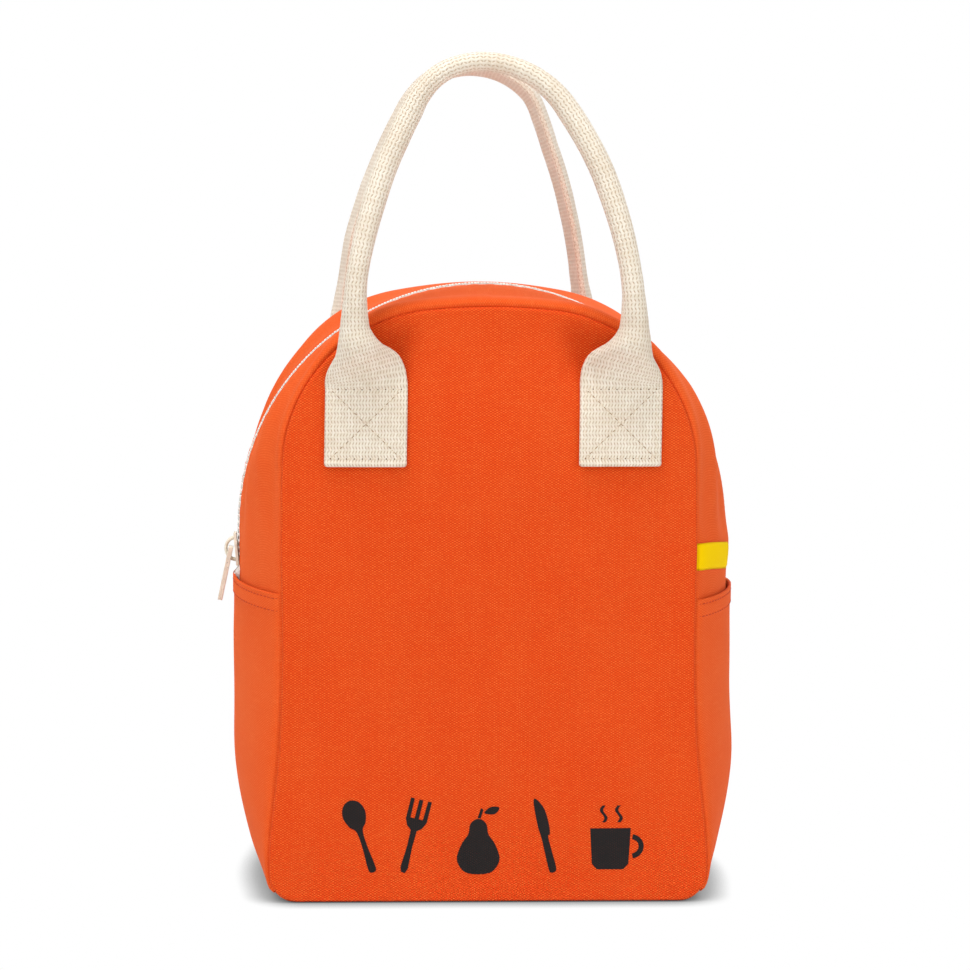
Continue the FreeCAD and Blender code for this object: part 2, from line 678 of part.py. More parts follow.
def handle_tabs(side):
    """The two flat ends of the webbing that are sewn to a panel."""
    word = SIDE_NAMES[side]
    flat = upright_sketch(f"{word}_tab_outline", f"{side} * ({WEBBING_BACK})")
    for sign in (RIGHT, LEFT):
        near = f"{sign} * (Sizes.tab_half_spacing - {sign} * Sizes.webbing_width / 2)"
        far = f"{sign} * (Sizes.tab_half_spacing + {sign} * Sizes.webbing_width / 2)"
        low, high = "Sizes.tab_bottom", TAB_TOP
        polygon(flat, [
            (f"{near} + Sizes.tab_corner", low), (f"{far} - Sizes.tab_corner", low),
            (far, f"{low} + Sizes.tab_corner"), (far, high), (near, high), (near, f"{low} + Sizes.tab_corner"),
        ])
    tabs = doc.addObject("Part::Extrusion", f"{word}_tabs")
    tabs.Base = flat
    tabs.DirMode = "Custom"
    tabs.Dir = Vector(0, side, 0)
    tabs.Solid = True
    node(f"{word}_handle_tabs", bind(tabs, LengthFwd="Sizes.webbing"))


def handle_loop(side):
    """Flares from the flat ends to the folded strap, and the strap over the top."""
    word = SIDE_NAMES[side]
    shift = "(Sizes.leg_half_spacing - Sizes.tab_half_spacing)"
    narrow = "(Sizes.webbing_width - Sizes.strap_width)"
    deepen = "(Sizes.strap_depth - Sizes.webbing)"
    flare = doc.addObject("Part::Loft", f"{word}_flare")
    sections = []
    for i, (climb, fold) in enumerate(((0.0, 0.0), (0.25, 0.06), (0.6, 0.6), (1.0, 1.0))):
        lift = f"{TAB_TOP} + Sizes.handle_gap + {climb} * (Sizes.neck_rise - Sizes.handle_gap)"
        depth = f"Sizes.webbing + {fold} * {deepen}"
        centre = (f"Sizes.tab_half_spacing + {fold} * {shift}", f"{side} * ({WEBBING_BACK} + ({depth}) / 2)")
        corner = f"Sizes.webbing_edge + {fold} * (Sizes.strap_corner - Sizes.webbing_edge)"
        sections.append(rounded(f"{word}_flare_{i}", centre, f"Sizes.webbing_width - {fold} * {narrow}", depth,
                                corner, lift))
    flare.Sections = sections
    flare.Solid = True
    other_flare = doc.addObject("Part::Mirroring", f"{word}_other_flare")
    other_flare.Source = flare
    other_flare.Normal = Vector(1, 0, 0)
    path = upright_sketch(f"{word}_loop_path", f"{side} * {STRAP_MIDDLE}")
    side_radius, top_radius = SIZES["handle_side_radius"], SIZES["handle_top_radius"]
    leg, neck = SIZES["leg_half_spacing"], number(NECK)
    turn = math.degrees(math.acos((side_radius - leg) / (side_radius - top_radius)))
    side_centre = (leg - side_radius, neck)
    top_centre = polar(side_centre, side_radius - top_radius, turn)
    path.addGeometry([
        arc(side_centre, side_radius, 0, turn),
        arc(top_centre, top_radius, turn, 180 - turn),
        arc((-side_centre[0], neck), side_radius, 180 - turn, 180),
    ])
    constrain(path, [
        ("Tangent", 0, 2, 1, 1), ("Tangent", 1, 2, 2, 1), ("PointOnObject", 1, 3, VERTICAL_AXIS),
        ("Equal", 0, 2), ("Symmetric", 0, 1, 2, 2, VERTICAL_AXIS), ("Horizontal", 0, 3, 0, 1),
    ], {
        "side": (("Radius", 0, side_radius), "Sizes.handle_side_radius"),
        "top": (("Radius", 1, top_radius), "Sizes.handle_top_radius"),
        "leg": (("DistanceX", *ORIGIN, 0, 1, leg), "Sizes.leg_half_spacing"),
        "neck": (("DistanceY", *ORIGIN, 0, 1, neck), NECK),
    })
    strap = doc.addObject("Part::Sweep", f"{word}_strap")
    strap.Sections = [rounded(f"{word}_strap_section", ("Sizes.leg_half_spacing", f"{side} * {STRAP_MIDDLE}"),
                              "Sizes.strap_width", "Sizes.strap_depth", "Sizes.strap_corner", NECK)]
    strap.Spine = (path, ["Edge1", "Edge2", "Edge3"])
    strap.Solid = True
    loop = doc.addObject("Part::MultiFuse", f"{word}_loop")
    loop.Shapes = [flare, strap, other_flare]
    node(f"{word}_handle_loop", loop)


for panel_side in (FRONT, BACK):
    handle_tabs(panel_side)
    handle_loop(panel_side)

doc.recompute()

for feature in doc.Objects:
    if "Invalid" in feature.State or "Error" in feature.State:
        raise RuntimeError(f"{feature.Label}: {feature.State}")
for piece in nodes:
    if piece.Shape.isNull() or not piece.Shape.isValid() or not piece.Shape.Solids:
        raise RuntimeError(f"{piece.Label}: shape is not a valid solid")

os.makedirs("parts", exist_ok=True)
for piece in nodes:
    piece.Shape.exportStep(f"parts/{piece.Label}.step")
    box = piece.Shape.BoundBox
    print(f"{piece.Label}: {len(piece.Shape.Solids)} solid, {piece.Shape.Volume:.0f} mm3, "
          f"x {box.XMin:.1f}..{box.XMax:.1f} y {box.YMin:.1f}..{box.YMax:.1f} z {box.ZMin:.1f}..{box.ZMax:.1f}")
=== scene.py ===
import math

import bmesh
import bpy
import numpy as np
from mathutils import Matrix, Vector
from mathutils.geometry import delaunay_2d_cdt


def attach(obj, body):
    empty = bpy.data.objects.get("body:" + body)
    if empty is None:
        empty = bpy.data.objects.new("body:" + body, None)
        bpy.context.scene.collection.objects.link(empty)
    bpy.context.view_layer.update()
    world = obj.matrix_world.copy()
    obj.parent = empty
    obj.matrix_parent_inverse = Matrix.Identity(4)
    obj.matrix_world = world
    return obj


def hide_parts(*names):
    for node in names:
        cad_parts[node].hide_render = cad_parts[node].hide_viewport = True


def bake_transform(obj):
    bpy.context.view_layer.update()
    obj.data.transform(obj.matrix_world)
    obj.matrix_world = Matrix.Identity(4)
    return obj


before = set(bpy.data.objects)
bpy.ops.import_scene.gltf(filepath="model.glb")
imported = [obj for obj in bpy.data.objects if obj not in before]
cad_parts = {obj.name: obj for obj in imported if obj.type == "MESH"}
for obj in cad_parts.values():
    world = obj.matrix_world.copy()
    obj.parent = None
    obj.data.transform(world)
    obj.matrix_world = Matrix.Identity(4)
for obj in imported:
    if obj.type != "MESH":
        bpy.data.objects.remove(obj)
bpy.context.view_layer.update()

bpy.ops.object.select_all(action="DESELECT")

# Lengths below are in millimetres until a mesh is made. +Z is up and the front faces -Y.
MM = 0.001
FRONT, BACK = -1, 1
LEFT, RIGHT = -1, 1
PANEL_WORD = {FRONT: "front", BACK: "back"}
SIDE_WORD = {LEFT: "left", RIGHT: "right"}
SEAM_DEPTH = 57.5
DOME_STATION = 32.0
FOLD = 126.0
ZIP_CENTRE = 143.0
ZIP_RADIUS = 100.0


def smoothstep(low, high, value):
    t = np.clip((np.asarray(value, float) - low) / (high - low), 0, 1)
    return t * t * (3 - 2 * t)


def waves(*terms):
    """Sum of sines over terms of (height, phase in radians)."""
    return sum(height * np.sin(phase) for height, phase in terms)


def hump(value, middle, width):
    return np.exp(-((value - middle) / width) ** 2)


def lengths_along(path):
    """Distance along a path from its start to each of its points."""
    return np.concatenate([[0], np.cumsum(np.linalg.norm(np.diff(path, axis=0), axis=1))])


def summed(values, places):
    """Running area under values at places."""
    return np.concatenate([[0], np.cumsum((values[1:] + values[:-1]) / 2 * np.diff(places))])


def unit(rows):
    return rows / np.linalg.norm(rows, axis=1, keepdims=True)


def right_of(along):
    """Directions in the XZ plane on the right of those along a path."""
    return np.stack([along[:, 1], -along[:, 0]], 1)


def at_depth(flat, y):
    """Points of the XZ plane at one depth, or each at its own."""
    return np.stack(np.broadcast_arrays(flat[:, 0], y, flat[:, 1]), 1)


# Node helpers

def reckoning(operation):
    return lambda field, *others: field.step(operation, *others)


class Field:
    """A node's output that can be reckoned with; each step adds a Math node to its tree."""

    def __init__(self, socket):
        self.socket, self.tree = socket, socket.id_data

    def step(self, operation, *others):
        return first_out(self.tree, "ShaderNodeMath", self, *others, operation=operation)

    def __rsub__(self, other):
        return first_out(self.tree, "ShaderNodeMath", other, self, operation="SUBTRACT")

    __add__, __sub__, __mul__ = reckoning("ADD"), reckoning("SUBTRACT"), reckoning("MULTIPLY")
    __truediv__, __pow__, __abs__ = reckoning("DIVIDE"), reckoning("POWER"), reckoning("ABSOLUTE")


def feed(socket, value):
    """Links a field to a socket, or sets the socket's own value."""
    if isinstance(value, Field):
        value.tree.links.new(value.socket, socket)
    else:
        socket.default_value = value


def put(tree, kind, *inputs, **settings):
    """Adds a node; inputs are for its first sockets, and None leaves one alone."""
    made = tree.nodes.new(kind)
    for key, value in settings.items():
        setattr(made, key, value)
    for socket, value in zip(made.inputs, inputs):
        if value is not None:
            feed(socket, value)
    return made


def first_out(tree, kind, *inputs, **settings):
    return Field(put(tree, kind, *inputs, **settings).outputs[0])


def feed_named(node, **values):
    """Feeds a node's sockets by name, with _ for a space."""
    for key, value in values.items():
        feed(node.inputs[key.replace("_", " ")], value)
    return node


def mixed(factor, first, second):
    made = put(factor.tree, "ShaderNodeMix", data_type="RGBA")
    for place, value in ((0, factor), (6, first), (7, second)):
        feed(made.inputs[place], value)
    return Field(made.outputs[2])


def blotches(vector, scale, detail=3.0, roughness=0.5):
    made = put(vector.tree, "ShaderNodeTexNoise")
    return Field(feed_named(made, Vector=vector, Scale=scale, Detail=detail, Roughness=roughness).outputs[0])


def spread(value, low, high, out_low=0.0, out_high=1.0):
    return first_out(value.tree, "ShaderNodeMapRange", value, low, high, out_low, out_high)


def joined(x, y):
    return first_out(x.tree, "ShaderNodeCombineXYZ", x, y)


def speckle(first, second=None):
    """A random shade for each whole number, or for each pair of them."""
    if second is None:
        return first_out(first.tree, "ShaderNodeTexWhiteNoise", None, first, noise_dimensions="1D")
    return first_out(first.tree, "ShaderNodeTexWhiteNoise", joined(first, second), noise_dimensions="2D")


def node_group(name, numbers, outputs):
    """A group that takes a cloth map and numbers: its tree, its inputs as fields and its output node."""
    tree = bpy.data.node_groups.new(name, "ShaderNodeTree")
    tree.interface.new_socket("Cloth", in_out="INPUT", socket_type="NodeSocketVector")
    for label, value in numbers.items():
        tree.interface.new_socket(label, in_out="INPUT", socket_type="NodeSocketFloat").default_value = value
    for label in outputs:
        tree.interface.new_socket(label, in_out="OUTPUT", socket_type="NodeSocketFloat")
    given = {socket.name: Field(socket) for socket in tree.nodes.new("NodeGroupInput").outputs}
    parts = put(tree, "ShaderNodeSeparateXYZ", given["Cloth"])
    return tree, given, Field(parts.outputs[0]), Field(parts.outputs[1]), tree.nodes.new("NodeGroupOutput")


def plain_weave_group():
    """Over and under of two thread sets: height of the weave and a shade that differs from thread to thread."""
    tree, given, x, y, out = node_group("plain_weave", {"Warp Pitch": 0.8, "Weft Pitch": 0.5, "Wander": 0.15},
                                        ("Height", "Thread", "Slub"))
    sway = (blotches(given["Cloth"], 0.6, 3.0, 0.7) - 0.5) * given["Wander"]
    across = x / given["Warp Pitch"] + sway * 4.0
    along = y / given["Weft Pitch"] + sway * 3.0
    column, row = across.step("FLOOR"), along.step("FLOOR")
    crossing = (across * math.pi).step("SINE") * (along * math.pi).step("SINE")
    feed_named(out, Height=spread(crossing, -1.0, 1.0),
               Thread=speckle(column, row) * 0.7 + (speckle(column) * 0.2 + speckle(row) * 0.1),
               Slub=blotches(joined(across * 0.05, row), 1.0, 2.0))
    return tree


def webbing_group():
    """Warp-faced webbing: columns of long grains between zigzag lines that break where they turn."""
    tree, given, x, y, out = node_group("webbing_grains", {"Column": 1.21, "Grain": 1.66}, ("Height", "Gap", "Shade"))
    along = y / given["Grain"]
    column = x / given["Column"] + (along.step("PINGPONG", 1.0) - 0.5) * 0.45
    side = abs(column.step("FRACT") - 0.5)
    turn = abs(along.step("FRACT") - 0.5)
    line = (side * 2.0) ** 2.0 * (1.15 - (turn * 2.0) ** 2.0)
    feed_named(out, Height=1.0 - line.step("MINIMUM", 1.0), Gap=spread(line, 0.25, 1.0),
               Shade=speckle(column.step("FLOOR"), along.step("FLOOR")))
    return tree


PLAIN_WEAVE = plain_weave_group()
WEBBING_GRAINS = webbing_group()


# Materials

def srgb(red, green, blue):
    """Linear colour of a display colour of 0 to 255."""
    def linear(value):
        value /= 255
        return value / 12.92 if value <= 0.04045 else ((value + 0.055) / 1.055) ** 2.4
    return (linear(red), linear(green), linear(blue), 1.0)


def new_material(name):
    material = bpy.data.materials.new(name)
    material.use_nodes = True
    return material, material.node_tree


def shaded(material, height, strength, distance, **inputs):
    """Feeds a material's shader, and bumps of a height field."""
    bump = feed_named(put(height.tree, "ShaderNodeBump"), Strength=strength, Distance=distance, Height=height)
    feed_named(material.node_tree.nodes["Principled BSDF"], Normal=Field(bump.outputs[0]), **inputs)
    return material


def on_cloth(name, group, **pitches):
    """A new material, the piece's own cloth map in millimetres along its threads, and a weave on it."""
    material, tree = new_material(name)
    cloth = first_out(tree, "ShaderNodeUVMap", uv_map="cloth")
    weave = tree.nodes.new("ShaderNodeGroup")
    weave.node_tree = group
    feed_named(weave, Cloth=cloth, **pitches)
    return material, cloth, {socket.name: Field(socket) for socket in weave.outputs}


def on_object(name):
    """A new material and the place on the object."""
    material, tree = new_material(name)
    return material, Field(put(tree, "ShaderNodeTexCoord").outputs["Object"])


def cloth_finish(material, colour, height, strength, distance, roughness, sheen, gloss=0.25, **more):
    return shaded(material, height, strength, distance, Base_Color=colour, Roughness=roughness, Sheen_Weight=sheen,
                  Sheen_Roughness=0.5, Specular_IOR_Level=gloss, **more)


def canvas_material(name, dark, mid, bright, depth):
    """Cotton canvas: pale crowns of uneven strength on a deeper ground, and slightly rubbed in places. The deeper
    ground in the hollows is painted shade and the pale crowns are painted highlights; their uneven strength from thread
    to thread is the threads' own tone.
    """
    material, cloth, weave = on_cloth(name, PLAIN_WEAVE, Warp_Pitch=0.82, Weft_Pitch=0.5, Wander=0.24)
    height, thread = weave["Height"], weave["Thread"]
    # Hollows of the weave darken towards the dark colour: painted shade between the threads.
    ground = mixed(spread(height, 0.05, 0.5, depth, 0.0), mid, dark)
    strength = spread(thread, 0.2, 0.8, 0.25 * depth, depth)
    # Crowns of the weave lighten towards the bright colour: painted highlights, of uneven strength by thread.
    crowns = mixed(spread(height, 0.6, 0.98) * strength, ground, bright)
    slubs = mixed(spread(weave["Slub"], 0.55, 0.8, 0.0, 0.14), crowns, bright)
    faded = mixed(spread(blotches(cloth, 0.03, 4.0, 0.6), 0.35, 0.75, 0.0, 0.08), slubs, bright)
    return cloth_finish(material, faded, height + thread * 0.4, 0.35 * depth, 0.00018,
                        spread(height, 0.0, 1.0, 0.95, 0.84), 0.2, Sheen_Tint=srgb(255, 140, 60))


def ink_material():
    """Black print: it lies on the crowns of the canvas and is thin in the hollows between the threads."""
    material, cloth, weave = on_cloth("black_print", PLAIN_WEAVE, Warp_Pitch=0.82, Weft_Pitch=0.5)
    thin = spread(weave["Height"] + blotches(cloth, 0.25, 3.0) * 0.35, 0.42, 0.12)
    colour = mixed(thin * 0.35, srgb(22, 20, 20), srgb(96, 40, 22))
    return cloth_finish(material, colour, weave["Height"], 0.5, 0.00015, 0.8, 0.05)


def webbing_material(name, grain, pale, gap_shade_and_soil):
    material, cloth, grains = on_cloth(name, WEBBING_GRAINS)
    yarn = mixed(spread(grains["Shade"], 0.0, 1.0, 0.0, 0.6), pale, grain)
    soiled = mixed(spread(blotches(cloth, 0.05, 4.0, 0.6), 0.4, 0.8, 0.0, 0.3), yarn, gap_shade_and_soil)
    drawn_out = first_out(cloth.tree, "ShaderNodeVectorMath", cloth, (3.0, 0.8, 1.0), operation="MULTIPLY")
    fibres = blotches(drawn_out, 2.5, 3.0)
    # The lines between the grains take the darker colour: painted shade in the gaps; the same colour darkens the soiled
    # blotches.
    return cloth_finish(material, mixed(grains["Gap"], soiled, gap_shade_and_soil), grains["Height"] + fibres * 0.25,
                        0.7, 0.00035, spread(fibres, 0.3, 0.7, 0.78, 0.95), 0.12)


def ribbed_material(name, warp, weft, dark, bright, distance, roughness, sheen, **more):
    """Plain narrow cloth: tape, binding or ribbon. The weave's hollows take the dark colour and its crowns the bright
    one: painted shade and painted highlights.
    """
    material, _, weave = on_cloth(name, PLAIN_WEAVE, Warp_Pitch=warp, Weft_Pitch=weft, Wander=0.05)
    height = weave["Height"]
    return cloth_finish(material, mixed(height, dark, bright), height, 0.5, distance, roughness, sheen, **more)


def lining_material():
    """Smooth pale lining cloth with a fine square weave and a slight shine."""
    material, cloth, weave = on_cloth("pale_lining", PLAIN_WEAVE, Warp_Pitch=0.35, Weft_Pitch=0.35, Wander=0.05)
    creases = blotches(cloth, 0.06, 4.0, 0.55)
    # Lighter on the crests of the crease field and darker in its hollows: painted shade in the creases.
    colour = mixed(spread(creases, 0.3, 0.7), srgb(206, 208, 210), srgb(224, 226, 228))
    return cloth_finish(material, colour, weave["Height"] * 0.1 + creases, 0.35, 0.0012,
                        spread(creases, 0.3, 0.7, 0.45, 0.6), 0.0)


def thread_material(name, dark, bright):
    """Twisted sewing thread."""
    material, place = on_object(name)
    twist = blotches(place, 2600.0, 2.0)
    return cloth_finish(material, mixed(spread(twist, 0.35, 0.65), dark, bright), twist, 0.4, 0.0001, 0.75, 0.0)


def moulded_material():
    """White moulded plastic: slight mottle and soft flow marks."""
    material, place = on_object("white_zip_plastic")
    mottle = blotches(place, 420.0, 3.0)
    colour = mixed(spread(mottle, 0.3, 0.7), srgb(226, 221, 212), srgb(246, 243, 238))
    return shaded(material, mottle, 0.15, 0.0001, Base_Color=colour, Roughness=spread(mottle, 0.3, 0.7, 0.36, 0.52))


def painted_metal_material():
    """Cream paint on cast metal, worn to bare metal in small chips."""
    material, place = on_object("cream_paint")
    chips = spread(blotches(place, 900.0, 4.0, 0.65), 0.66, 0.7)
    clouds = blotches(place, 300.0, 3.0)
    paint = mixed(spread(clouds, 0.3, 0.7), srgb(222, 210, 188), srgb(240, 232, 214))
    return shaded(material, clouds - chips, 0.25, 0.0001, Base_Color=mixed(chips, paint, srgb(150, 146, 138)),
                  Metallic=chips * 0.9, Roughness=spread(clouds, 0.3, 0.7, 0.34, 0.46))


CANVAS = canvas_material("orange_canvas", srgb(196, 44, 0), srgb(220, 67, 2), srgb(240, 124, 50), 1.0)
# The gusset, strips and pockets use a paler, lower-contrast copy of the panels' canvas: painted light for the light on
# the rolled top and the sides.
SIDE_CANVAS_PAINTED_LIGHT = canvas_material("orange_side_canvas_painted_light", srgb(202, 52, 6), srgb(229, 83, 19), srgb(252, 148, 82), 0.38)
INK = ink_material()
# Third colour of each webbing: painted shade in the gaps between grains, also used for soiling.
WEBBING = {
    FRONT: webbing_material("natural_webbing", srgb(226, 213, 192), srgb(240, 232, 217), srgb(192, 163, 130)),
    # The back handle's webbing is a pinker copy with lighter gaps: painted light for the brighter light on the back
    # handle.
    BACK: webbing_material("natural_webbing_back_painted_light", srgb(228, 212, 192), srgb(241, 230, 214), srgb(198, 168, 138)),
}
TAPE = ribbed_material("zip_tape_white", 0.6, 0.9, srgb(214, 208, 200), srgb(246, 243, 238), 0.0002, 0.85, 0.1)
LINING = lining_material()
BINDING = ribbed_material("grey_binding", 0.5, 0.7, srgb(150, 152, 154), srgb(186, 188, 190), 0.0002, 0.8, 0.05)
RIBBON = ribbed_material("yellow_ribbon", 0.45, 0.32, srgb(240, 190, 0), srgb(255, 222, 0), 0.00014, 0.8, 0.0,
                         gloss=0.05)
ORANGE_THREAD = thread_material("orange_thread", srgb(206, 62, 14), srgb(240, 96, 40))
DARK_THREAD = thread_material("dark_orange_thread", srgb(178, 46, 8), srgb(214, 74, 22))
TAN_THREAD = thread_material("tan_thread", srgb(206, 184, 154), srgb(238, 226, 206))
# Dark colours for the needle holes: painted shade in the holes.
NEEDLE_SHADE_DOT = thread_material("needle_shade_dot", srgb(104, 76, 50), srgb(140, 108, 76))
NEEDLE_SHADE_DASH = thread_material("needle_shade_dash", srgb(148, 120, 88), srgb(184, 156, 124))
TEETH_PLASTIC = moulded_material()
CREAM_PAINT = painted_metal_material()


# The bag's form: outlines at the seams, at the full shoulders and at mid depth, and a smooth skin through them

OUTLINES = {
    "seam": {"crest": 234.7, "top": 230.0, "shoulder": 62.5, "half": 80.7, "lean": 2.1, "lower": 60.0, "turn": 6.0},
    "dome": {"crest": 244.0, "top": 160.0, "shoulder": 76.0, "half": 94.5, "lean": 0.0, "lower": 147.0, "turn": 17.0},
    "arch": {"crest": 243.0, "top": 100.0, "shoulder": 100.0, "half": 100.0, "lean": 0.0, "lower": 147.0, "turn": 22.0},
}
BASE_CORNER = 11.0
BASE_FLAT = 0.3
ARCH_MEET = 68.0
WAIST = 2.9
STRIP_LOW = 116.5


def bow(centre, radius, start, end, count):
    turns = np.radians(np.linspace(start, end, count))
    return np.stack([centre[0] + radius * np.cos(turns), centre[1] + radius * np.sin(turns)], 1)


def half_outline(size):
    """Right half of an outline as points from the middle of the base to the crest."""
    lean, turn = math.radians(size["lean"]), math.radians(size["turn"])
    top_centre = np.array([0.0, size["crest"] - size["top"]])
    gap = size["top"] - size["shoulder"]
    meet = ARCH_MEET if gap == 0 else math.degrees(math.acos((size["half"] - size["shoulder"] * math.cos(lean)) / gap))
    shoulder_centre = top_centre + gap * np.array([math.cos(math.radians(meet)), math.sin(math.radians(meet))])
    out = np.array([math.cos(lean), math.sin(lean)])
    spring = shoulder_centre + size["shoulder"] * out
    drop = size["lower"] * math.sin(lean) + (size["lower"] - BASE_CORNER) * math.sin(turn) + BASE_CORNER
    side = (spring[1] - drop + BASE_FLAT) / math.cos(lean)
    foot = spring + side * np.array([math.sin(lean), -math.cos(lean)])
    lower_centre = foot - size["lower"] * out
    corner_centre = lower_centre + (size["lower"] - BASE_CORNER) * np.array([math.cos(turn), -math.sin(turn)])
    base = np.linspace((0, corner_centre[1] - BASE_CORNER), (corner_centre[0], corner_centre[1] - BASE_CORNER), 30)
    return np.concatenate([
        base[:-1],
        bow(corner_centre, BASE_CORNER, -90, -size["turn"], 16)[:-1],
        bow(lower_centre, size["lower"], -size["turn"], size["lean"], 24)[:-1],
        np.linspace(foot, spring, 50)[:-1],
        bow(shoulder_centre, size["shoulder"], size["lean"], meet, 60)[:-1],
        bow(top_centre, size["top"], meet, 90, 50),
    ])


HALVES = {name: half_outline(size) for name, size in OUTLINES.items()}
seam_heights = HALVES["seam"][:, 1]
HALVES["seam"][:, 0] -= WAIST * smoothstep(15, 70, seam_heights) * (1 - smoothstep(85, 165, seam_heights))


def half_station(y):
    """Right half of the skin's outline at a depth, an even curve through the five outlines."""
    q, dome, seam = y * y, DOME_STATION ** 2, SEAM_DEPTH ** 2
    return (HALVES["arch"] * ((q - dome) * (q - seam) / (dome * seam))
            + HALVES["dome"] * (q * (q - seam) / (dome * (dome - seam)))
            + HALVES["seam"] * (q * (q - dome) / (seam * (seam - dome))))


def evenly(path, count):
    steps = lengths_along(path)
    where = np.linspace(0, steps[-1], count)
    return np.stack([np.interp(where, steps, column) for column in path.T], 1), where


def clipped(half, low, high):
    """Part of a right half between two heights; it rises all the way from the base to the crest."""
    heights = np.maximum.accumulate(half[:, 1] + np.arange(len(half)) * 1e-7)
    ends = [np.array([[np.interp(z, heights, half[:, 0]), z]]) for z in (low, high)]
    inside = half[(heights > low + 1e-4) & (heights < high - 1e-4)]
    return np.concatenate([ends[0], inside, ends[1]])


def dressed(path, count, turn=1):
    """Even points of a path, its outward normals and its lengths."""
    points, lengths = evenly(path, count)
    return points, right_of(unit(np.gradient(points, axis=0))) * turn, lengths


def run_below(y, count):
    """From the fold on the left, under the base, to the fold on the right."""
    half = half_station(y)
    right = clipped(half, half[0, 1], FOLD)
    right = np.concatenate([half[:1], right[1:]]) if right[0, 0] != 0 else right
    return dressed(np.concatenate([(right * (-1, 1))[::-1], right[1:]]), count)


def run_over(low):
    """A run from a height on the left, over the crest, to the same height on the right."""
    def run(y, count):
        half = half_station(y)
        right = clipped(half, low, half[-1, 1])
        right[-1, 0] = 0.0
        return dressed(np.concatenate([right * (-1, 1), right[:-1][::-1]]), count, turn=-1)
    return run


run_above = run_over(STRIP_LOW)
run_lining = run_over(FOLD)


def side_run(side, low, high, shares):
    """Runs up one side of the skin between two heights, at given shares of the way."""
    def run(y, count):
        points, lengths = evenly(clipped(half_station(y), low(y), high(y)) * (side, 1), 160)
        at = np.array([np.interp(shares, np.linspace(0, 1, 160), column) for column in points.T]).T
        return at, right_of(unit(np.gradient(at, axis=0))) * side, shares * lengths[-1]
    return run


def mesh_piece(name, points, faces, material, cloth=None):
    """Object from points in millimetres; doubles are merged and all faces turned outwards."""
    mesh = bpy.data.meshes.new(name)
    mesh.from_pydata((np.asarray(points) * MM).tolist(), [], faces)
    if cloth is not None:
        layer = mesh.uv_layers.new(name="cloth")
        corners = np.empty(len(mesh.loops), int)
        mesh.loops.foreach_get("vertex_index", corners)
        layer.data.foreach_set("uv", np.asarray(cloth, np.float32)[corners].ravel())
    shape = bmesh.new()
    shape.from_mesh(mesh)
    bmesh.ops.remove_doubles(shape, verts=shape.verts, dist=2e-6)
    bmesh.ops.dissolve_degenerate(shape, edges=shape.edges, dist=1e-7)
    bmesh.ops.recalc_face_normals(shape, faces=shape.faces)
    for face in shape.faces:
        face.smooth = True
    shape.to_mesh(mesh)
    shape.free()
    piece = bpy.data.objects.new(name, mesh)
    bpy.context.collection.objects.link(piece)
    mesh.materials.append(material)
    return piece


def closed_rows(rows, columns, start=0):
    """Faces of a grid whose rows close on themselves."""
    faces = []
    for r in range(rows - 1):
        for c in range(columns):
            a = start + r * columns + c
            b = start + r * columns + (c + 1) % columns
            faces.append((a, b, b + columns, a + columns))
    return faces


def rows_piece(name, rows, cloth, material):
    """Piece from closed rows of points, each with its cloth map."""
    return mesh_piece(name, np.concatenate(rows), closed_rows(len(rows), len(rows[0])), material,
                      np.concatenate(cloth))


def tube_of_cloth(name, outer, inner, cloth, material):
    """Closed padded strip: rows run along it, an outer and an inner skin meet at both edges and both ends."""
    middle = (outer + inner) / 2
    loops = np.concatenate([outer, inner[:, ::-1]], 1)
    for end in (0, -1):
        loops[end] = np.concatenate([middle[end], middle[end][::-1]])
    return rows_piece(name, loops, np.concatenate([cloth, cloth[:, ::-1]], 1), material)


def follow_fold(piece):
    """Bakes the piece's placement into its mesh."""
    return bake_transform(piece)


def settle(piece, side):
    """A front piece has its placement baked into its mesh, and a back one stays with the bag."""
    return follow_fold(piece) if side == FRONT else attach(piece, "bag")


def wall_nodes(side, *kinds):
    """Frame nodes of a wall's layers; the front's are divided at the fold."""
    if side == BACK:
        return [f"back_{kind}" for kind in kinds]
    return [f"front_{kind}_{half}" for kind in kinds for half in ("upper", "lower")]


# Gusset: sides and base in one length, and the two strips beside the zip

SKIN_EDGE = 51.5
LINING_EDGE = 53.8
SKIN_DEPTHS = np.linspace(-SKIN_EDGE, SKIN_EDGE, 53)
ROLL_REACH = 2.5
ROLL_STEPS = 9
CREASE_DEPTH = 55.7
STRIP_EDGE = 5.5
TOPSTITCH = 8.0
SHAPE_HEIGHTS = [140, 172, 190, 205, 217, 232, 240, 244]
FRONT_LEFT_SINK = [0, -1.2, -3.2, -4.8, -5.4, -5.2, -2.8, -1.5]
FRONT_LEFT_ROLL_SINK = [0, 0, -1.4, -3.6, -6.0, -6.0, -3.8, -2.0]
FRONT_RIGHT_SINK = [0, -2.0, -3.0, -3.8, -5.0, -6.2, -3.8, -1.5]
FRONT_RIGHT_ROLL_SINK = [0, -1.0, -2.0, -3.0, -4.6, -6.4, -4.4, -2.0]
BACK_SINK = [0, -0.3, -1.2, -1.2, -1.0, -1.2, -1.4, -1.4]
ROLL_FILL = 1.8
RIGHT_FLARE, FLARE_HEIGHT, FLARE_REACH = 1.2, 139, 8
CANVAS_BACK = 3.9
CANVAS_FLOOR = 3.6


def crease_depth(z):
    """Where along the depth the gusset and panel meet: shallow at the sides, a groove over the top."""
    return CREASE_DEPTH - 1.4 * smoothstep(165, 215, z)


def crease_inset(z):
    """How far inside the seam outline they meet: further at the base."""
    return 0.9 + 0.8 * (1 - smoothstep(2, 8, z))


def gusset_puff(z):
    return 0.25 + 1.7 * smoothstep(145, 205, z)


def under_strips(z):
    """1 where the lower ends of the zip strips lie over the gusset."""
    return smoothstep(110, 116, z)


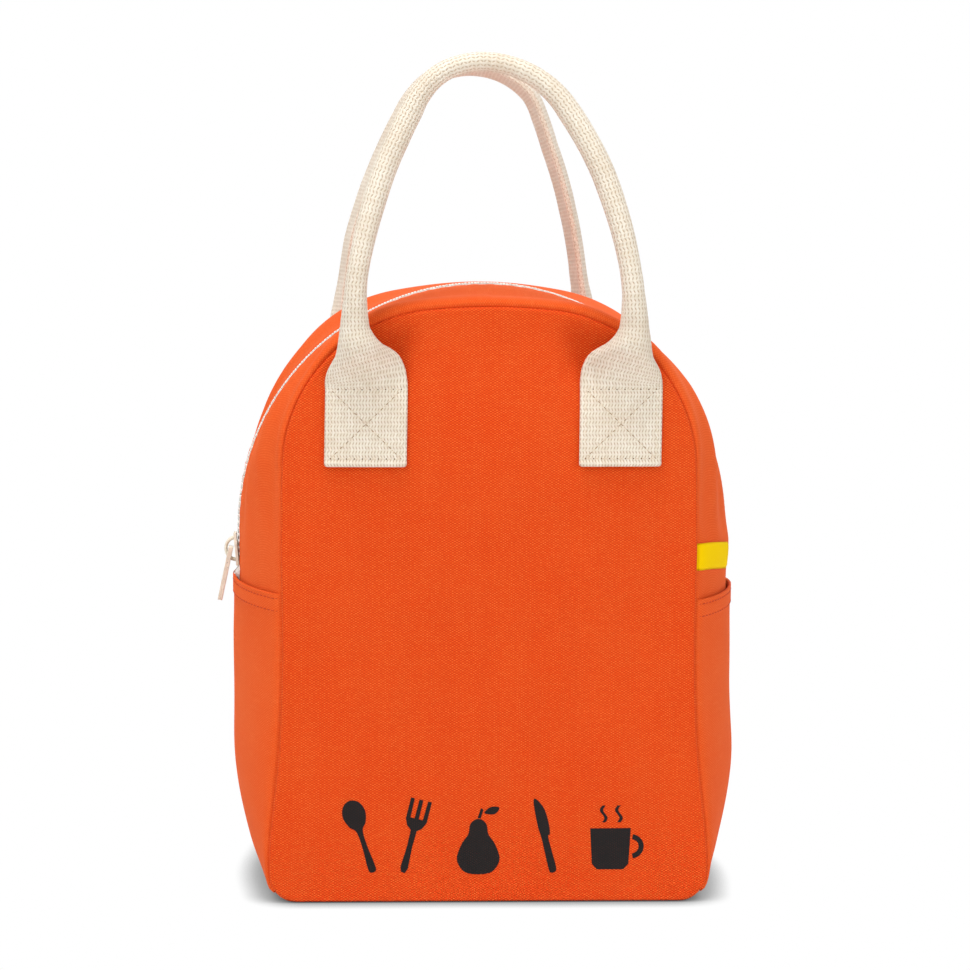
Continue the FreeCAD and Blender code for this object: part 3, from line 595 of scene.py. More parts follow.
def side_folds(x, y, z):
    """Slack of the side cloth: soft vertical folds above the pockets, and a fuller foot, more so on the right."""
    left = x < 0
    amount = smoothstep(126, 165, z) * (1 - smoothstep(205, 235, z))
    folds = waves(
        (0.55, y * 0.21 + z * 0.012 + np.where(left, 0.4, 2.2)),
        (0.35, y * 0.36 - z * 0.02 + np.where(left, 1.9, 0.3)),
        (0.25, z * 0.09 + y * 0.05 + 0.7),
    ) - 0.6
    foot = smoothstep(4, 18, z) * (1 - smoothstep(45, 85, z)) * (1 - (y / 57) ** 2)
    return amount * folds + foot * np.where(left, 0.8, 2.2)


def right_flare(x, z):
    """The right side stands out a little above its pocket."""
    return np.where(x > 0, RIGHT_FLARE * hump(z, FLARE_HEIGHT, FLARE_REACH), 0)


def strip_shape(x, y, z):
    """The shoulders sit in below the full form, the front one lower than the zip over the top."""
    from_zip = abs(y)
    if y > 0:
        middle = by_roll = np.interp(z, SHAPE_HEIGHTS, BACK_SINK)
        by_zip, roll = 0.3 * middle, 0.0
    else:
        middle, by_roll = (
            np.where(x < 0, np.interp(z, SHAPE_HEIGHTS, left), np.interp(z, SHAPE_HEIGHTS, right))
            for left, right in ((FRONT_LEFT_SINK, FRONT_RIGHT_SINK), (FRONT_LEFT_ROLL_SINK, FRONT_RIGHT_ROLL_SINK)))
        by_zip, roll = -1.0, ROLL_FILL * hump(from_zip, 50, 5) * smoothstep(200, 232, z)
    sink = by_zip + (middle - by_zip) * smoothstep(8, 22, from_zip)
    sink = (sink + (by_roll - sink) * smoothstep(26, 42, from_zip)) * (1 - 0.8 * smoothstep(46, 55, from_zip))
    return sink + roll + right_flare(x, z) + side_folds(x, y, z) * smoothstep(9, 22, from_zip)


def strip_lift(x, y, z):
    """Strip beside the zip: a groove under the topstitch, a bead between it and the folded edge."""
    from_zip = abs(y)
    groove = -0.45 * hump(from_zip, TOPSTITCH, 0.8) + 0.25 * hump(from_zip, 6.4, 0.8)
    pucker = 0.12 * np.sin(x * 0.9 + z * 0.9) * hump(from_zip, TOPSTITCH, 3.0)
    return groove + pucker + strip_shape(x, y, z)


def skin_rows(run, depths, count, lift):
    """Grid on the skin: one row for each place along the run, one column for each depth; and its cloth map."""
    columns, maps = [], []
    for y in depths:
        points, outward, lengths = run(y, count)
        at = points + outward * lift(points[:, 0], y, points[:, 1])[:, None]
        at[:, 1] = np.maximum(at[:, 1], 0.0)
        columns.append(at_depth(at, y))
        maps.append(np.stack([np.full(count, y), lengths - lengths[-1] / 2], 1))
    return np.stack(columns, 1), np.stack(maps, 1)


def edge_roll(run, side, count, lift, puff=0.0, tuck=0.0):
    """Columns that roll from the skin over to the crease against a panel.

    Puff fills the roll, and tuck changes that where the strips lie over the gusset.
    """
    inner_y, near_y = side * SKIN_EDGE, side * (SKIN_EDGE + ROLL_REACH)
    first, out_first, lengths = run(inner_y, count)
    second, out_second, _ = run(near_y, count)
    seam, out_seam, _ = run(side * SEAM_DEPTH, count)
    z = seam[:, 1]
    fill = puff + tuck * under_strips(z)
    start = first + out_first * lift(first[:, 0], inner_y, first[:, 1])[:, None]
    guide = second + out_second * (lift(second[:, 0], near_y, second[:, 1]) + gusset_puff(z) * 0.6)[:, None]
    crest = seam + out_seam * (gusset_puff(z) + fill + 0.2)[:, None]
    crease = seam - out_seam * (crease_inset(z) - 0.25 * fill)[:, None]
    depth_crest = SEAM_DEPTH + 0.3 + 1.4 * smoothstep(165, 220, z)
    columns, maps = [], []
    for t in np.linspace(0, 1, ROLL_STEPS + 1)[1:]:
        weights = ((1 - t) ** 3, 3 * t * (1 - t) ** 2, 3 * t * t * (1 - t), t ** 3)
        at = sum(w * p for w, p in zip(weights, (start, guide, crest, crease)))
        y = sum(w * p for w, p in zip(weights, (SKIN_EDGE, SKIN_EDGE + ROLL_REACH, depth_crest, crease_depth(z))))
        at[:, 1] = np.maximum(at[:, 1], 0.0)
        columns.append(at_depth(at, side * y))
        maps.append(np.stack([np.full(count, side * (SKIN_EDGE + 7 * t)), lengths - lengths[-1] / 2], 1))
    return np.stack(columns, 1), np.stack(maps, 1)


def rolled_skin(run, depths, count, lift, sides=(FRONT, BACK), **fill):
    """A skin whose edges roll over at the front, or at the front and back; and its cloth map."""
    skin, maps = skin_rows(run, depths, count, lift)
    for side in sides:
        roll, roll_map = edge_roll(run, side, count, lift, **fill)
        skin, maps = (np.concatenate([new[:, ::-1], old] if side == FRONT else [old, new], 1)
                      for new, old in ((roll, skin), (roll_map, maps)))
    return skin, maps


def lower_gusset():
    count = 230

    def lift(x, y, z):
        return side_folds(x, y, z) - 1.4 * under_strips(z)

    outer, cloth = rolled_skin(run_below, SKIN_DEPTHS, count, lift, tuck=-1.2)
    inner, _ = skin_rows(run_below, np.clip(outer[0, :, 1], -LINING_EDGE, LINING_EDGE), count,
                         lambda x, y, z: np.full(len(x), -CANVAS_BACK))
    inner[:, :, 2] = np.maximum(inner[:, :, 2], CANVAS_FLOOR)
    piece = tube_of_cloth("gusset", outer, inner, cloth, SIDE_CANVAS_PAINTED_LIGHT)
    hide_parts("lower_gusset", "gusset_foam")
    follow_fold(piece)


def zip_strip(side):
    count = 190
    word = PANEL_WORD[side]
    spacing = np.concatenate([np.arange(STRIP_EDGE, 11, 0.45), np.linspace(11.5, SKIN_EDGE, 26)])
    turned = side * np.array([STRIP_EDGE + 0.25, STRIP_EDGE - 0.05])
    grids = (
        skin_rows(run_above, turned, count,
                  lambda x, y, z: strip_lift(x, y, z) - (1.0 if abs(y) > STRIP_EDGE else 0.45)),
        skin_rows(run_above, side * spacing, count, strip_lift),
        edge_roll(run_above, side, count, strip_lift),
    )
    outer, cloth = (np.concatenate(part, 1) for part in zip(*grids))

    def inside(x, y, z):
        thick = 0.75 + 3.1 * smoothstep(13.5, 16.5, abs(y)) * smoothstep(127, 134, z)
        return strip_shape(x, y, z) - thick

    depths = np.clip(np.abs(outer[0, :, 1]), STRIP_EDGE + 0.4, LINING_EDGE)
    inner, _ = skin_rows(run_above, side * depths, count, inside)
    piece = tube_of_cloth(f"{word}_strip", outer, inner, cloth, SIDE_CANVAS_PAINTED_LIGHT)
    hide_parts(f"{word}_zip_strip", f"{word}_top_foam")
    settle(piece, side)


# Panels

PANEL_FACE = 58.7
PANEL_MIDDLE = np.array([0.0, 118.0])
PANEL_BACK = 54.3
DENT, BULGE = 5.0, 1.2


def near_top(z):
    """0 at a panel's sides, 1 at its top."""
    return smoothstep(165, 222, z)


def seam_loop(count):
    """Closed outline of a panel, anticlockwise seen from the front, with outward normals."""
    half = half_station(SEAM_DEPTH)
    points, _ = evenly(np.concatenate([half, (half[:-1] * (-1, 1))[::-1]]), count + 1)
    points = points[:-1]
    return points, right_of(unit(np.roll(points, -1, 0) - np.roll(points, 1, 0)))


LOOP, LOOP_OUT = seam_loop(360)
LOOP_ANGLE = np.unwrap(np.arctan2(LOOP[:, 1] - PANEL_MIDDLE[1], LOOP[:, 0] - PANEL_MIDDLE[0]))
LOOP_REACH = np.linalg.norm(LOOP - PANEL_MIDDLE, axis=1)
LOOP_TOP = near_top(LOOP[:, 1])


def loop_inset(inset):
    return LOOP - LOOP_OUT * inset[:, None]


def drawn_in(loop, share):
    """A loop made smaller about the middle of a panel."""
    return PANEL_MIDDLE + (loop - PANEL_MIDDLE) * share


def share_out(x, z):
    """0 at the middle of a panel, 1 at its seam."""
    dx, dz = x - PANEL_MIDDLE[0], z - PANEL_MIDDLE[1]
    turn = np.mod(np.arctan2(dz, dx) - LOOP_ANGLE[0], 2 * math.pi) + LOOP_ANGLE[0]
    return np.hypot(dx, dz) / np.interp(turn, LOOP_ANGLE, LOOP_REACH, period=2 * math.pi)


def panel_relief(x, z, side):
    """How far a panel's face stands out from its plane."""
    share = np.clip(share_out(x, z), 0, 1)
    crown = 2.0 * (1 - share ** 2.4)
    sway = waves((0.35, x * 0.045 + z * 0.02 + side), (0.3, z * 0.05 - x * 0.018 + 0.6 * side),
                 (0.18, x * 0.11 - z * 0.07)) * (1 - smoothstep(0.85, 1.0, share))
    dents = sum(DENT * hump(x, leg * 36.5, 8) * hump(z, 217, 16) - BULGE * hump(x, leg * 50, 14) * hump(z, 205, 14)
                for leg in (LEFT, RIGHT))
    return crown + sway - dents * (1 - smoothstep(0.92, 0.99, share))


def panel_face(x, z, side):
    """Depth of a panel's outer face away from its rolled edge; it lies further in towards the top."""
    return side * (PANEL_FACE - 1.7 * near_top(z) + panel_relief(x, z, side))


def face_of(at, side):
    return np.abs(panel_face(at[:, 0], at[:, 1], side))


def padded_panel(side):
    rows, cloth = [], []

    def add(at, depth):
        rows.append(at_depth(at, side * depth))
        cloth.append(at)

    for share in (0.0, 0.35, 0.6, 0.7, 0.78, 0.84, 0.9, 0.935, 0.965):
        at = drawn_in(LOOP, share)
        add(at, np.minimum(PANEL_BACK, face_of(at, side) - 1.3))
    radius = 1.1 + 0.5 * LOOP_TOP
    low = 1 - smoothstep(2, 8, LOOP[:, 1])
    for turn in np.radians(np.linspace(135, 0, 10)):
        at = loop_inset(radius - radius * math.sin(turn) + low)
        add(at, face_of(at, side) - (radius - radius * math.cos(turn)))
    edge = at
    for share in np.concatenate([np.linspace(0.985, 0.9, 6), np.linspace(0.87, 0.0, 34)]):
        at = drawn_in(edge, share)
        add(at, face_of(at, side))
    piece = rows_piece(f"{PANEL_WORD[side]}_wall", rows, cloth, CANVAS)
    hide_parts(*wall_nodes(side, "panel", "foam"))
    settle(piece, side)


# Handles: webbing that lies flat on a panel at both ends and is folded lengthwise in between

WEB_WIDTH = 32.0
WEB_THICK = 1.8
TAB_LOW, TAB_TOP = 172.8, 203.4
NECK = 228.0
TAB_SPACING, LEG_SPACING = 49.5, 54.0
SIDE_RADIUS, TOP_RADIUS = 170.0, 36.0
LIP = np.array([0, 0.12, 0.3, 0.55, 0.85, 1.2, 1.6, 1.9, 2.15, 2.4, 2.7, 3.2])
LIP_END = 4.2
LIP_FOLD = 1.1
CORNER = 1.2
WEB_GAP = 0.1
HANDLE_SHIFT = {FRONT: 2.3, BACK: -3.5}
TAB_SHIFT_SHARE = 0.7
HANDLE_RISE = {FRONT: -2.4, BACK: 1.8}
HANDLE_LEAN = 17.6
HANDLE_DEPTH = 58.8
REST_TOP = 222
TAB_SKEW = {FRONT: -0.5, BACK: 0.6}
SWAY_HEIGHTS = [203.4, 228, 245, 260, 273, 286, 299, 312, 320, 334]
LEFT_SWAY = {FRONT: [0, -0.8, -1.0, -0.4, 0, 0, 0, -0.8, -2.2, -6.0],
             BACK: [0, 1.2, 2.2, 2.2, 3.0, 3.4, 3.8, 4.0, 3.4, 1.0]}
RIGHT_SWAY = {FRONT: [0, -1.2, -1.6, -2.2, -2.8, -3.2, -4.0, -4.8, -5.2, -6.0],
              BACK: [0, -3.2, -4.6, -4.6, -4.4, -3.7, -3.0, -1.1, 0.5, 1.0]}
FOLD_HEIGHTS = [203.4, 214, 224, 232, 240, 250, 262, 280, 310, 322, 331]
FOLD_LENGTHS = {FRONT: [32, 29, 25, 17.5, 13.2, 12.2, 13.2, 14.8, 14.8, 12.4, 10.2],
                BACK: [32, 29, 25, 15.5, 11.2, 10.2, 10.2, 10.4, 10.4, 10.2, 10.0]}
SHUT_HEIGHTS = [TAB_TOP, 208.3, 213, 217.8, 222.5, 227]
SHUT_SHARES = [0, 0.1, 0.28, 0.58, 0.8, 1.0]


def handle_path():
    """Middle line of a handle in the XZ plane, from the left end over the top to the right end."""
    turn = math.acos((SIDE_RADIUS - LEG_SPACING) / (SIDE_RADIUS - TOP_RADIUS))
    side_centre = np.array([LEG_SPACING - SIDE_RADIUS, NECK])
    top_centre = side_centre + (SIDE_RADIUS - TOP_RADIUS) * np.array([math.cos(turn), math.sin(turn)])
    degrees = math.degrees(turn)
    heights = np.linspace(TAB_LOW, NECK, 30)
    leg = np.stack([TAB_SPACING + (LEG_SPACING - TAB_SPACING) * smoothstep(TAB_TOP, NECK, heights), heights], 1)
    right = np.concatenate([leg[:-1], bow(side_centre, SIDE_RADIUS, 0, degrees, 50)[:-1],
                            bow(top_centre, TOP_RADIUS, degrees, 90, 40)])
    return np.concatenate([right * (-1, 1), right[:-1][::-1]])


def tab_skew(z, side):
    """A handle's ends are sewn askew."""
    return TAB_SKEW[side] * np.clip((TAB_TOP - z) / (TAB_TOP - TAB_LOW), 0, 1)


def closing_turn(nose):
    """Half turn of a fold at which the webbing's two edges meet."""
    turns = np.linspace(1.2, 3.0, 400)
    edge = nose / 2 * np.sin(turns) / turns + (WEB_WIDTH - nose) / 2 * np.cos(turns)
    return float(turns[np.argmax(edge < 0.3)])


def handle(side):
    word = PANEL_WORD[side]
    drawn = handle_path()
    steps = lengths_along(drawn)
    lengths = np.concatenate([LIP, np.linspace(LIP_END, steps[-1] - LIP_END, 252), steps[-1] - LIP[::-1]])
    path = np.stack([np.interp(lengths, steps, column) for column in drawn.T], 1)
    across = right_of(unit(np.gradient(path, lengths, axis=0)))
    places = np.linspace(-WEB_WIDTH / 2, WEB_WIDTH / 2, 41)
    outer, inner, maps = [], [], []
    for at, lateral, length in zip(path, across, lengths):
        z = at[1]
        nose = float(np.interp(z, FOLD_HEIGHTS, FOLD_LENGTHS[side]))
        shut = float(np.interp(z, SHUT_HEIGHTS, SHUT_SHARES))
        bend = np.clip(np.abs(places) / (nose / 2), 0, 1) * closing_turn(nose) * shut
        sideways = summed(np.cos(bend), places)
        fall = summed(np.sin(bend) * np.sign(-places), places)
        from_end = min(length, lengths[-1] - length)
        rounding = CORNER - math.sqrt(CORNER ** 2 - max(0.0, CORNER - from_end) ** 2)
        sideways = (sideways - sideways[len(places) // 2]) * (1 - rounding / (WEB_WIDTH / 2))
        spot = at[None, :] + lateral[None, :] * sideways[:, None]
        above_tab = float(smoothstep(TAB_TOP, NECK, z))
        spot[:, 0] += HANDLE_SHIFT[side] * (TAB_SHIFT_SHARE + (1 - TAB_SHIFT_SHARE) * above_tab)
        stray = (LEFT_SWAY if at[0] < 0 else RIGHT_SWAY)[side]
        spot[:, 0] += float(np.interp(z, SWAY_HEIGHTS, stray)) + tab_skew(z, side)
        spot[:, 1] += HANDLE_RISE[side] * float(smoothstep(285, 334, z))
        flatness = 1 - float(smoothstep(TAB_TOP - 2, TAB_TOP + 14, z))
        rest = side * panel_face(spot[:, 0], np.minimum(spot[:, 1], REST_TOP), side) + WEB_THICK / 2 + WEB_GAP
        level = rest * flatness + (WEB_THICK / 2 + HANDLE_DEPTH) * (1 - flatness)
        turned_in = LIP_FOLD * (1 - float(smoothstep(1.8, 2.5, from_end)))
        depth = level + fall - HANDLE_LEAN * float(smoothstep(NECK, 400, z)) + turned_in / 2
        thick = (WEB_THICK + turned_in) * math.sqrt(1 - max(0.0, 1 - (from_end + 0.1) / CORNER) ** 2)
        for store, offset in ((outer, thick / 2), (inner, -thick / 2)):
            edge = offset * np.sqrt(np.clip(1 - (np.abs(places) / (WEB_WIDTH / 2 + 0.05)) ** 40, 0.05, 1))
            moved = spot + lateral[None, :] * (np.sin(bend) * np.sign(places) * edge)[:, None]
            store.append(at_depth(moved, side * (depth + np.cos(bend) * edge)))
        maps.append(np.stack([places, np.full(len(places), length)], 1))
    piece = tube_of_cloth(f"{word}_handle_webbing", np.array(outer), np.array(inner), np.array(maps), WEBBING[side])
    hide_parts(f"{word}_handle_tabs", f"{word}_handle_loop")
    holder = "front_flap" if side == FRONT else "bag"
    side * 0.06
    side * 0.06
    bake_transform(piece)


# Side pockets, tag, linings and bindings

POCKET_FOOT = 4.0
POCKET_TOPS = {LEFT: 123.2, RIGHT: 120.6}
POCKET_TILT = 0.012
HEM = 7.5
HEM_ROWS = (2.0, HEM - 0.6)
TAG_LOW, TAG_HIGH = 132.5, 143.2
TAG_BACK = -30.5
LINING_OUT, LINING_IN = -4.2, -4.65
LINING_FLOORS = (4.0, 4.4)
WALL_LINING_INSET, WALL_LINING_DEPTHS = 2.3, (54.05, 53.65)
BINDING_INSET, BINDING_HALF, BINDING_DEPTH, BINDING_FLOOR = 4.7, 2.2, 52.4, 5.2
TOP_INSET = 1.3


def pocket_top(x, y):
    tops = np.where(np.asarray(x) < 0, POCKET_TOPS[LEFT] + POCKET_TILT * (y + SEAM_DEPTH), POCKET_TOPS[RIGHT])
    return tops + 0.5 * np.cos(y * 0.055)


def pocket_lift(x, y, z):
    """How far a pocket stands off the bag: it gapes towards its top and has a hem of double cloth."""
    gape = 0.3 * smoothstep(55, 120, z) * (1 - (abs(y) / 56) ** 2)
    below = pocket_top(x, y) - z
    hem = 0.4 * (1 - smoothstep(HEM - 0.4, HEM + 0.4, below))
    rows = -0.18 * sum(hump(below, row, 0.5) for row in HEM_ROWS)
    sag = waves((0.3, y * 0.11 + z * 0.035 + np.sign(x)), (0.2, z * 0.08 - y * 0.05))
    stand = 1.25 + gape + hem + rows + sag * smoothstep(8, 30, z) * (1 - smoothstep(100, 118, z)) * 0.8
    return stand + side_folds(x, y, z)


def side_pocket(side):
    word = SIDE_WORD[side]
    shares = np.concatenate([np.linspace(0, 0.86, 60), np.linspace(0.87, 0.985, 32), [0.991, 0.9955, 0.9985, 1.0]])
    run = side_run(side, lambda y: POCKET_FOOT, lambda y: float(pocket_top(side, y)), shares)

    def under(x, y, z):
        return np.maximum(pocket_lift(x, y, z) - 1.0, 0.15 + side_folds(x, y, z))

    outer, _ = rolled_skin(run, SKIN_DEPTHS, len(shares), pocket_lift, puff=1.1)
    inner, cloth = rolled_skin(run, SKIN_DEPTHS, len(shares), under, puff=0.15)
    piece = tube_of_cloth(f"{word}_slip_pocket", outer, inner, cloth, SIDE_CANVAS_PAINTED_LIGHT)
    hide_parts(f"{word}_pocket")
    follow_fold(piece)
    hem_stitches(side, outer)


def side_ribbon():
    """Folded ribbon caught in the right front seam; its folded end lies free on the side."""
    shares = np.linspace(0, 1, 9)
    depths = np.linspace(-SKIN_EDGE, TAG_BACK, 24)

    def droop(y):
        return 1.0 + 2.7 * float(smoothstep(-58, -20, y))

    def lift(x, y, z):
        return side_folds(x, y, z) + right_flare(x, z) + 1.15 + 0.4 * smoothstep(-40, TAG_BACK, y)

    run = side_run(RIGHT, lambda y: TAG_LOW - droop(y), lambda y: TAG_HIGH - droop(y), shares)
    outer, _ = rolled_skin(run, depths, len(shares), lift, (FRONT,), puff=1.0)
    inner, cloth = rolled_skin(run, depths, len(shares), lambda x, y, z: lift(x, y, z) - 0.8, (FRONT,), puff=0.3)
    piece = tube_of_cloth("side_ribbon", outer, inner, cloth, RIBBON)
    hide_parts("side_tag")
    follow_fold(piece)


def under_strip(x, y, z):
    """How the lining follows a zip strip; it rises to the tape that it is sewn to."""
    return strip_shape(x, y, z) + 1.2 * (1 - smoothstep(12, 17, abs(y)))


def lining_strip(name, node, run, count, depths, follows):
    def lift(offset):
        return lambda x, y, z: offset + follows(x, y, z) + 0.12 * waves(
            (1.0, y * 0.3 + z * 0.05), (0.7, x * 0.11 + z * 0.16 + y * 0.1))

    outer, cloth = skin_rows(run, depths, count, lift(LINING_OUT))
    inner, _ = skin_rows(run, depths, count, lift(LINING_IN))
    for skin, lowest in zip((outer, inner), LINING_FLOORS):
        skin[:, :, 2] = np.maximum(skin[:, :, 2], lowest)
    piece = tube_of_cloth(name, outer, inner, cloth, LINING)
    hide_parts(node)
    return piece


def panel_lining(side):
    """Flat lining behind a panel, with slight drag lines."""
    word = PANEL_WORD[side]
    rows, cloth = [], []
    shares = [0.0, 0.15, 0.3, 0.45, 0.6, 0.7, 0.77, 0.83, 0.88, 0.93, 0.97, 1.0]
    edge = loop_inset(WALL_LINING_INSET + TOP_INSET * LOOP_TOP)
    edge[:, 1] = np.maximum(edge[:, 1], LINING_FLOORS[1])
    for depth, order in zip(WALL_LINING_DEPTHS, (shares, shares[::-1])):
        for share in order:
            at = drawn_in(edge, share)
            drag = 0.06 * waves((1.0, at[:, 0] * 0.12 + at[:, 1] * 0.03), (0.6, at[:, 1] * 0.09)) * (1 - share)
            rows.append(at_depth(at, side * np.minimum(depth + drag, face_of(at, side) - 55.5 + depth)))
            cloth.append(at)
    piece = rows_piece(f"{word}_wall_lining", rows, cloth, LINING)
    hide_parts(*wall_nodes(side, "lining"))
    settle(piece, side)


def seam_binding(side):
    """Folded binding over the raw edges of the inner seam: a flat oval strip all the way round."""
    rows, cloth = [], []
    lengths = lengths_along(LOOP)
    for turn in np.linspace(0, 2 * math.pi, 13)[:-1]:
        at = loop_inset(BINDING_INSET + TOP_INSET * LOOP_TOP + BINDING_HALF * math.cos(turn))
        at[:, 1] = np.maximum(at[:, 1], BINDING_FLOOR)
        middle = np.minimum(BINDING_DEPTH, face_of(at, side) - 3.2)
        row = at_depth(at, side * (middle + math.sin(turn) + 0.1 * np.sin(lengths * 0.35)))
        row[:, 2] += 0.6 * math.cos(turn) * (at[:, 1] < 6)
        rows.append(row)
        cloth.append(np.stack([np.full(len(LOOP), turn * 1.2), lengths], 1))
    rows.append(rows[0])
    cloth.append(cloth[0] + (2 * math.pi * 1.2, 0))
    piece = rows_piece(f"{PANEL_WORD[side]}_seam_binding", rows, cloth, BINDING)
    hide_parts(*wall_nodes(side, "binding"))
    settle(piece, side)


# Zip: tapes, rows of teeth, stops, slider and pull

TAPE_ANGLES = np.linspace(194.0, -14.0, 178)
TAPE_DEPTHS = np.array([0.2, 1.2, 2.4, 3.0, 3.7, 4.4, 5.1, 6.5, 9.0, 11.5, 14.0])
TAPE_RISES = np.array([98.5, 98.6, 99.1, 99.3, 99.2, 98.7, 98.05, 97.8, 97.7, 97.9, 98.2])
TAPE_BULGES = np.array([1.0, 1.0, 1.0, 1.0, 1.0, 1.0, 0.8, 0.3, 0.0, 0.0, 0.0])
TAPE_END_HEIGHTS = [117.5, 119, 122.5, 124, 125, 126.2, 127.5]
TAPE_END_OUT = [99.2, 99.2, 100.0, 100.8, 101.0, 100.2, 97.3]
TAPE_END_TURN = math.radians(8.8)
RIGHT_END_OUT = 98.8
TAPE_RADIUS, TAPE_MAP_RADIUS = 98.5, 98.6
TAPE_THICK = 0.5
TAPE_COVERED, COVER_THICK = 5, 1.05
TOOTH_STEP = 1.5
TOOTH_START, TOOTH_END = 188.4, -8.2
TOOTH_RADIUS = 99.05
STOP_RADIUS = 98.7
START_STOP, END_STOP = 189.4, -9.0
SLIDER_ANGLE = 185.0
BRIDGE_FOOT = 1.35
PIVOT = (-102.81, 0.0, 134.60)
PULL_LEAN = 12.0


def arch_point(angle, radius, y):
    """Point on the half circle of the zip; 0 is the right end of the axis, 180 the left."""
    turn = np.radians(angle)
    return np.stack(np.broadcast_arrays(radius * np.cos(turn), y, ZIP_CENTRE + radius * np.sin(turn)), -1)


def zip_tape(side):
    """Tape under the teeth and strip; below the slider its left end stands out."""
    word = PANEL_WORD[side]
    past_axis = np.radians(np.maximum(np.abs(TAPE_ANGLES - 90) - 90, 0))
    out = np.interp(ZIP_CENTRE - ZIP_RADIUS * np.tan(past_axis), TAPE_END_HEIGHTS, TAPE_END_OUT)
    out = np.where(TAPE_ANGLES > 90, out, np.minimum(out, RIGHT_END_OUT))
    ends = np.where(past_axis > TAPE_END_TURN, out / np.cos(past_axis) - TAPE_RADIUS, 0)
    outer, inner, cloth = [], [], []
    for y, rise, bulge in zip(TAPE_DEPTHS, TAPE_RISES, TAPE_BULGES):
        flat = arch_point(TAPE_ANGLES, ZIP_RADIUS, side * y)
        below = ZIP_RADIUS + strip_shape(flat[:, 0], side * y, flat[:, 2]) - COVER_THICK
        radius = (np.minimum(rise, below) if y > TAPE_COVERED else rise) + ends * bulge
        outer.append(arch_point(TAPE_ANGLES, radius, side * y))
        inner.append(arch_point(TAPE_ANGLES, radius - TAPE_THICK, side * y))
        cloth.append(np.stack([np.full(len(TAPE_ANGLES), y), np.radians(TAPE_ANGLES) * TAPE_MAP_RADIUS], 1))
    piece = tube_of_cloth(f"{word}_tape", *(np.stack(part, 1) for part in (outer, inner, cloth)), TAPE)
    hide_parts(f"{word}_zip_tape")
    settle(piece, side)


def finished(piece, name, material):
    """Applies what is left on a modelled piece and names it."""
    bpy.context.view_layer.objects.active = piece
    for modifier in list(piece.modifiers):
        bpy.ops.object.modifier_apply(modifier=modifier.name)
    piece.name = piece.data.name = name
    piece.data.materials.clear()
    piece.data.materials.append(material)
    bpy.ops.object.select_all(action="DESELECT")
    return piece


def one_piece(parts, name):
    bpy.ops.object.select_all(action="DESELECT")
    for part in parts:
        part.select_set(True)
    bpy.context.view_layer.objects.active = parts[0]
    bpy.ops.object.join()
    whole = bpy.context.object
    whole.name = whole.data.name = name
    bpy.ops.object.select_all(action="DESELECT")
    return whole


def mode(word):
    bpy.ops.object.mode_set(mode=word)


def block(name, low, high):
    """A box between two corners in millimetres, in object mode and alone selected."""
    bpy.ops.object.select_all(action="DESELECT")
    middle = [(a + b) / 2 * MM for a, b in zip(low, high)]
    bpy.ops.mesh.primitive_cube_add(size=1, location=middle)
    made = bpy.context.object
    made.name = name
    made.scale = [(b - a) * MM for a, b in zip(low, high)]
    bpy.ops.object.transform_apply(location=True, rotation=True, scale=True)
    return made


def pick_faces(piece, wanted):
    """Selects in edit mode the faces for which wanted(centre in millimetres, normal) holds."""
    shape = bmesh.from_edit_mesh(piece.data)
    for face in shape.faces:
        face.select_set(bool(wanted(face.calc_center_median() / MM, face.normal)))
    bmesh.update_edit_mesh(piece.data)


def pick_edges(piece, wanted):
    """Selects in edit mode the edges for which wanted(one end, other end) holds, in millimetres."""
    shape = bmesh.from_edit_mesh(piece.data)
    bpy.ops.mesh.select_all(action="DESELECT")
    for edge in shape.edges:
        if wanted(*[vertex.co / MM for vertex in edge.verts]):
            edge.select_set(True)
    bmesh.update_edit_mesh(piece.data)


def cut_across(places, axis):
    """Cuts the whole mesh in edit mode at places along one axis, in millimetres."""
    direction = [float(i == axis) for i in range(3)]
    for place in places:
        bpy.ops.mesh.select_all(action="SELECT")
        bpy.ops.mesh.bisect(plane_co=[place * MM * d for d in direction], plane_no=direction)


def rounded_edges(piece, width, segments=2, angle=40):
    bevel = piece.modifiers.new("bevel", "BEVEL")
    bevel.width = width * MM
    bevel.segments = segments
    bevel.limit_method = "ANGLE"
    bevel.angle_limit = math.radians(angle)


def on_arch(angle, radius):
    """Turns a piece's own frame onto the zip: X outwards, Z up the left side."""
    turn = math.radians(angle)
    place = arch_point(angle, radius, 0) * MM
    return Matrix(((math.cos(turn), 0, math.sin(turn), place[0]), (0, 1, 0, 0),
                   (math.sin(turn), 0, -math.cos(turn), place[2]), (0, 0, 0, 1)))


def one_tooth():
    """A moulded tooth in its own frame: X out from the bag, Y towards its tape, Z along the zip."""
    piece = block("tooth", (-1.0, -0.9, -0.55), (1.0, 3.0, 0.55))
    mode("EDIT")
    cut_across([0.4, 1.4], 1)
    pick_faces(piece, lambda c, n: -0.9 < c.y < 0.4 and abs(n.z) > 0.9)
    bpy.ops.transform.resize(value=(1, 1, 1.12))
    pick_faces(piece, lambda c, n: c.y > 1.4 and abs(n.x) > 0.9)
    bpy.ops.transform.resize(value=(0.75, 1, 1))
    mode("OBJECT")
    rounded_edges(piece, 0.22, 1)
    return finished(piece, "tooth", TEETH_PLASTIC)


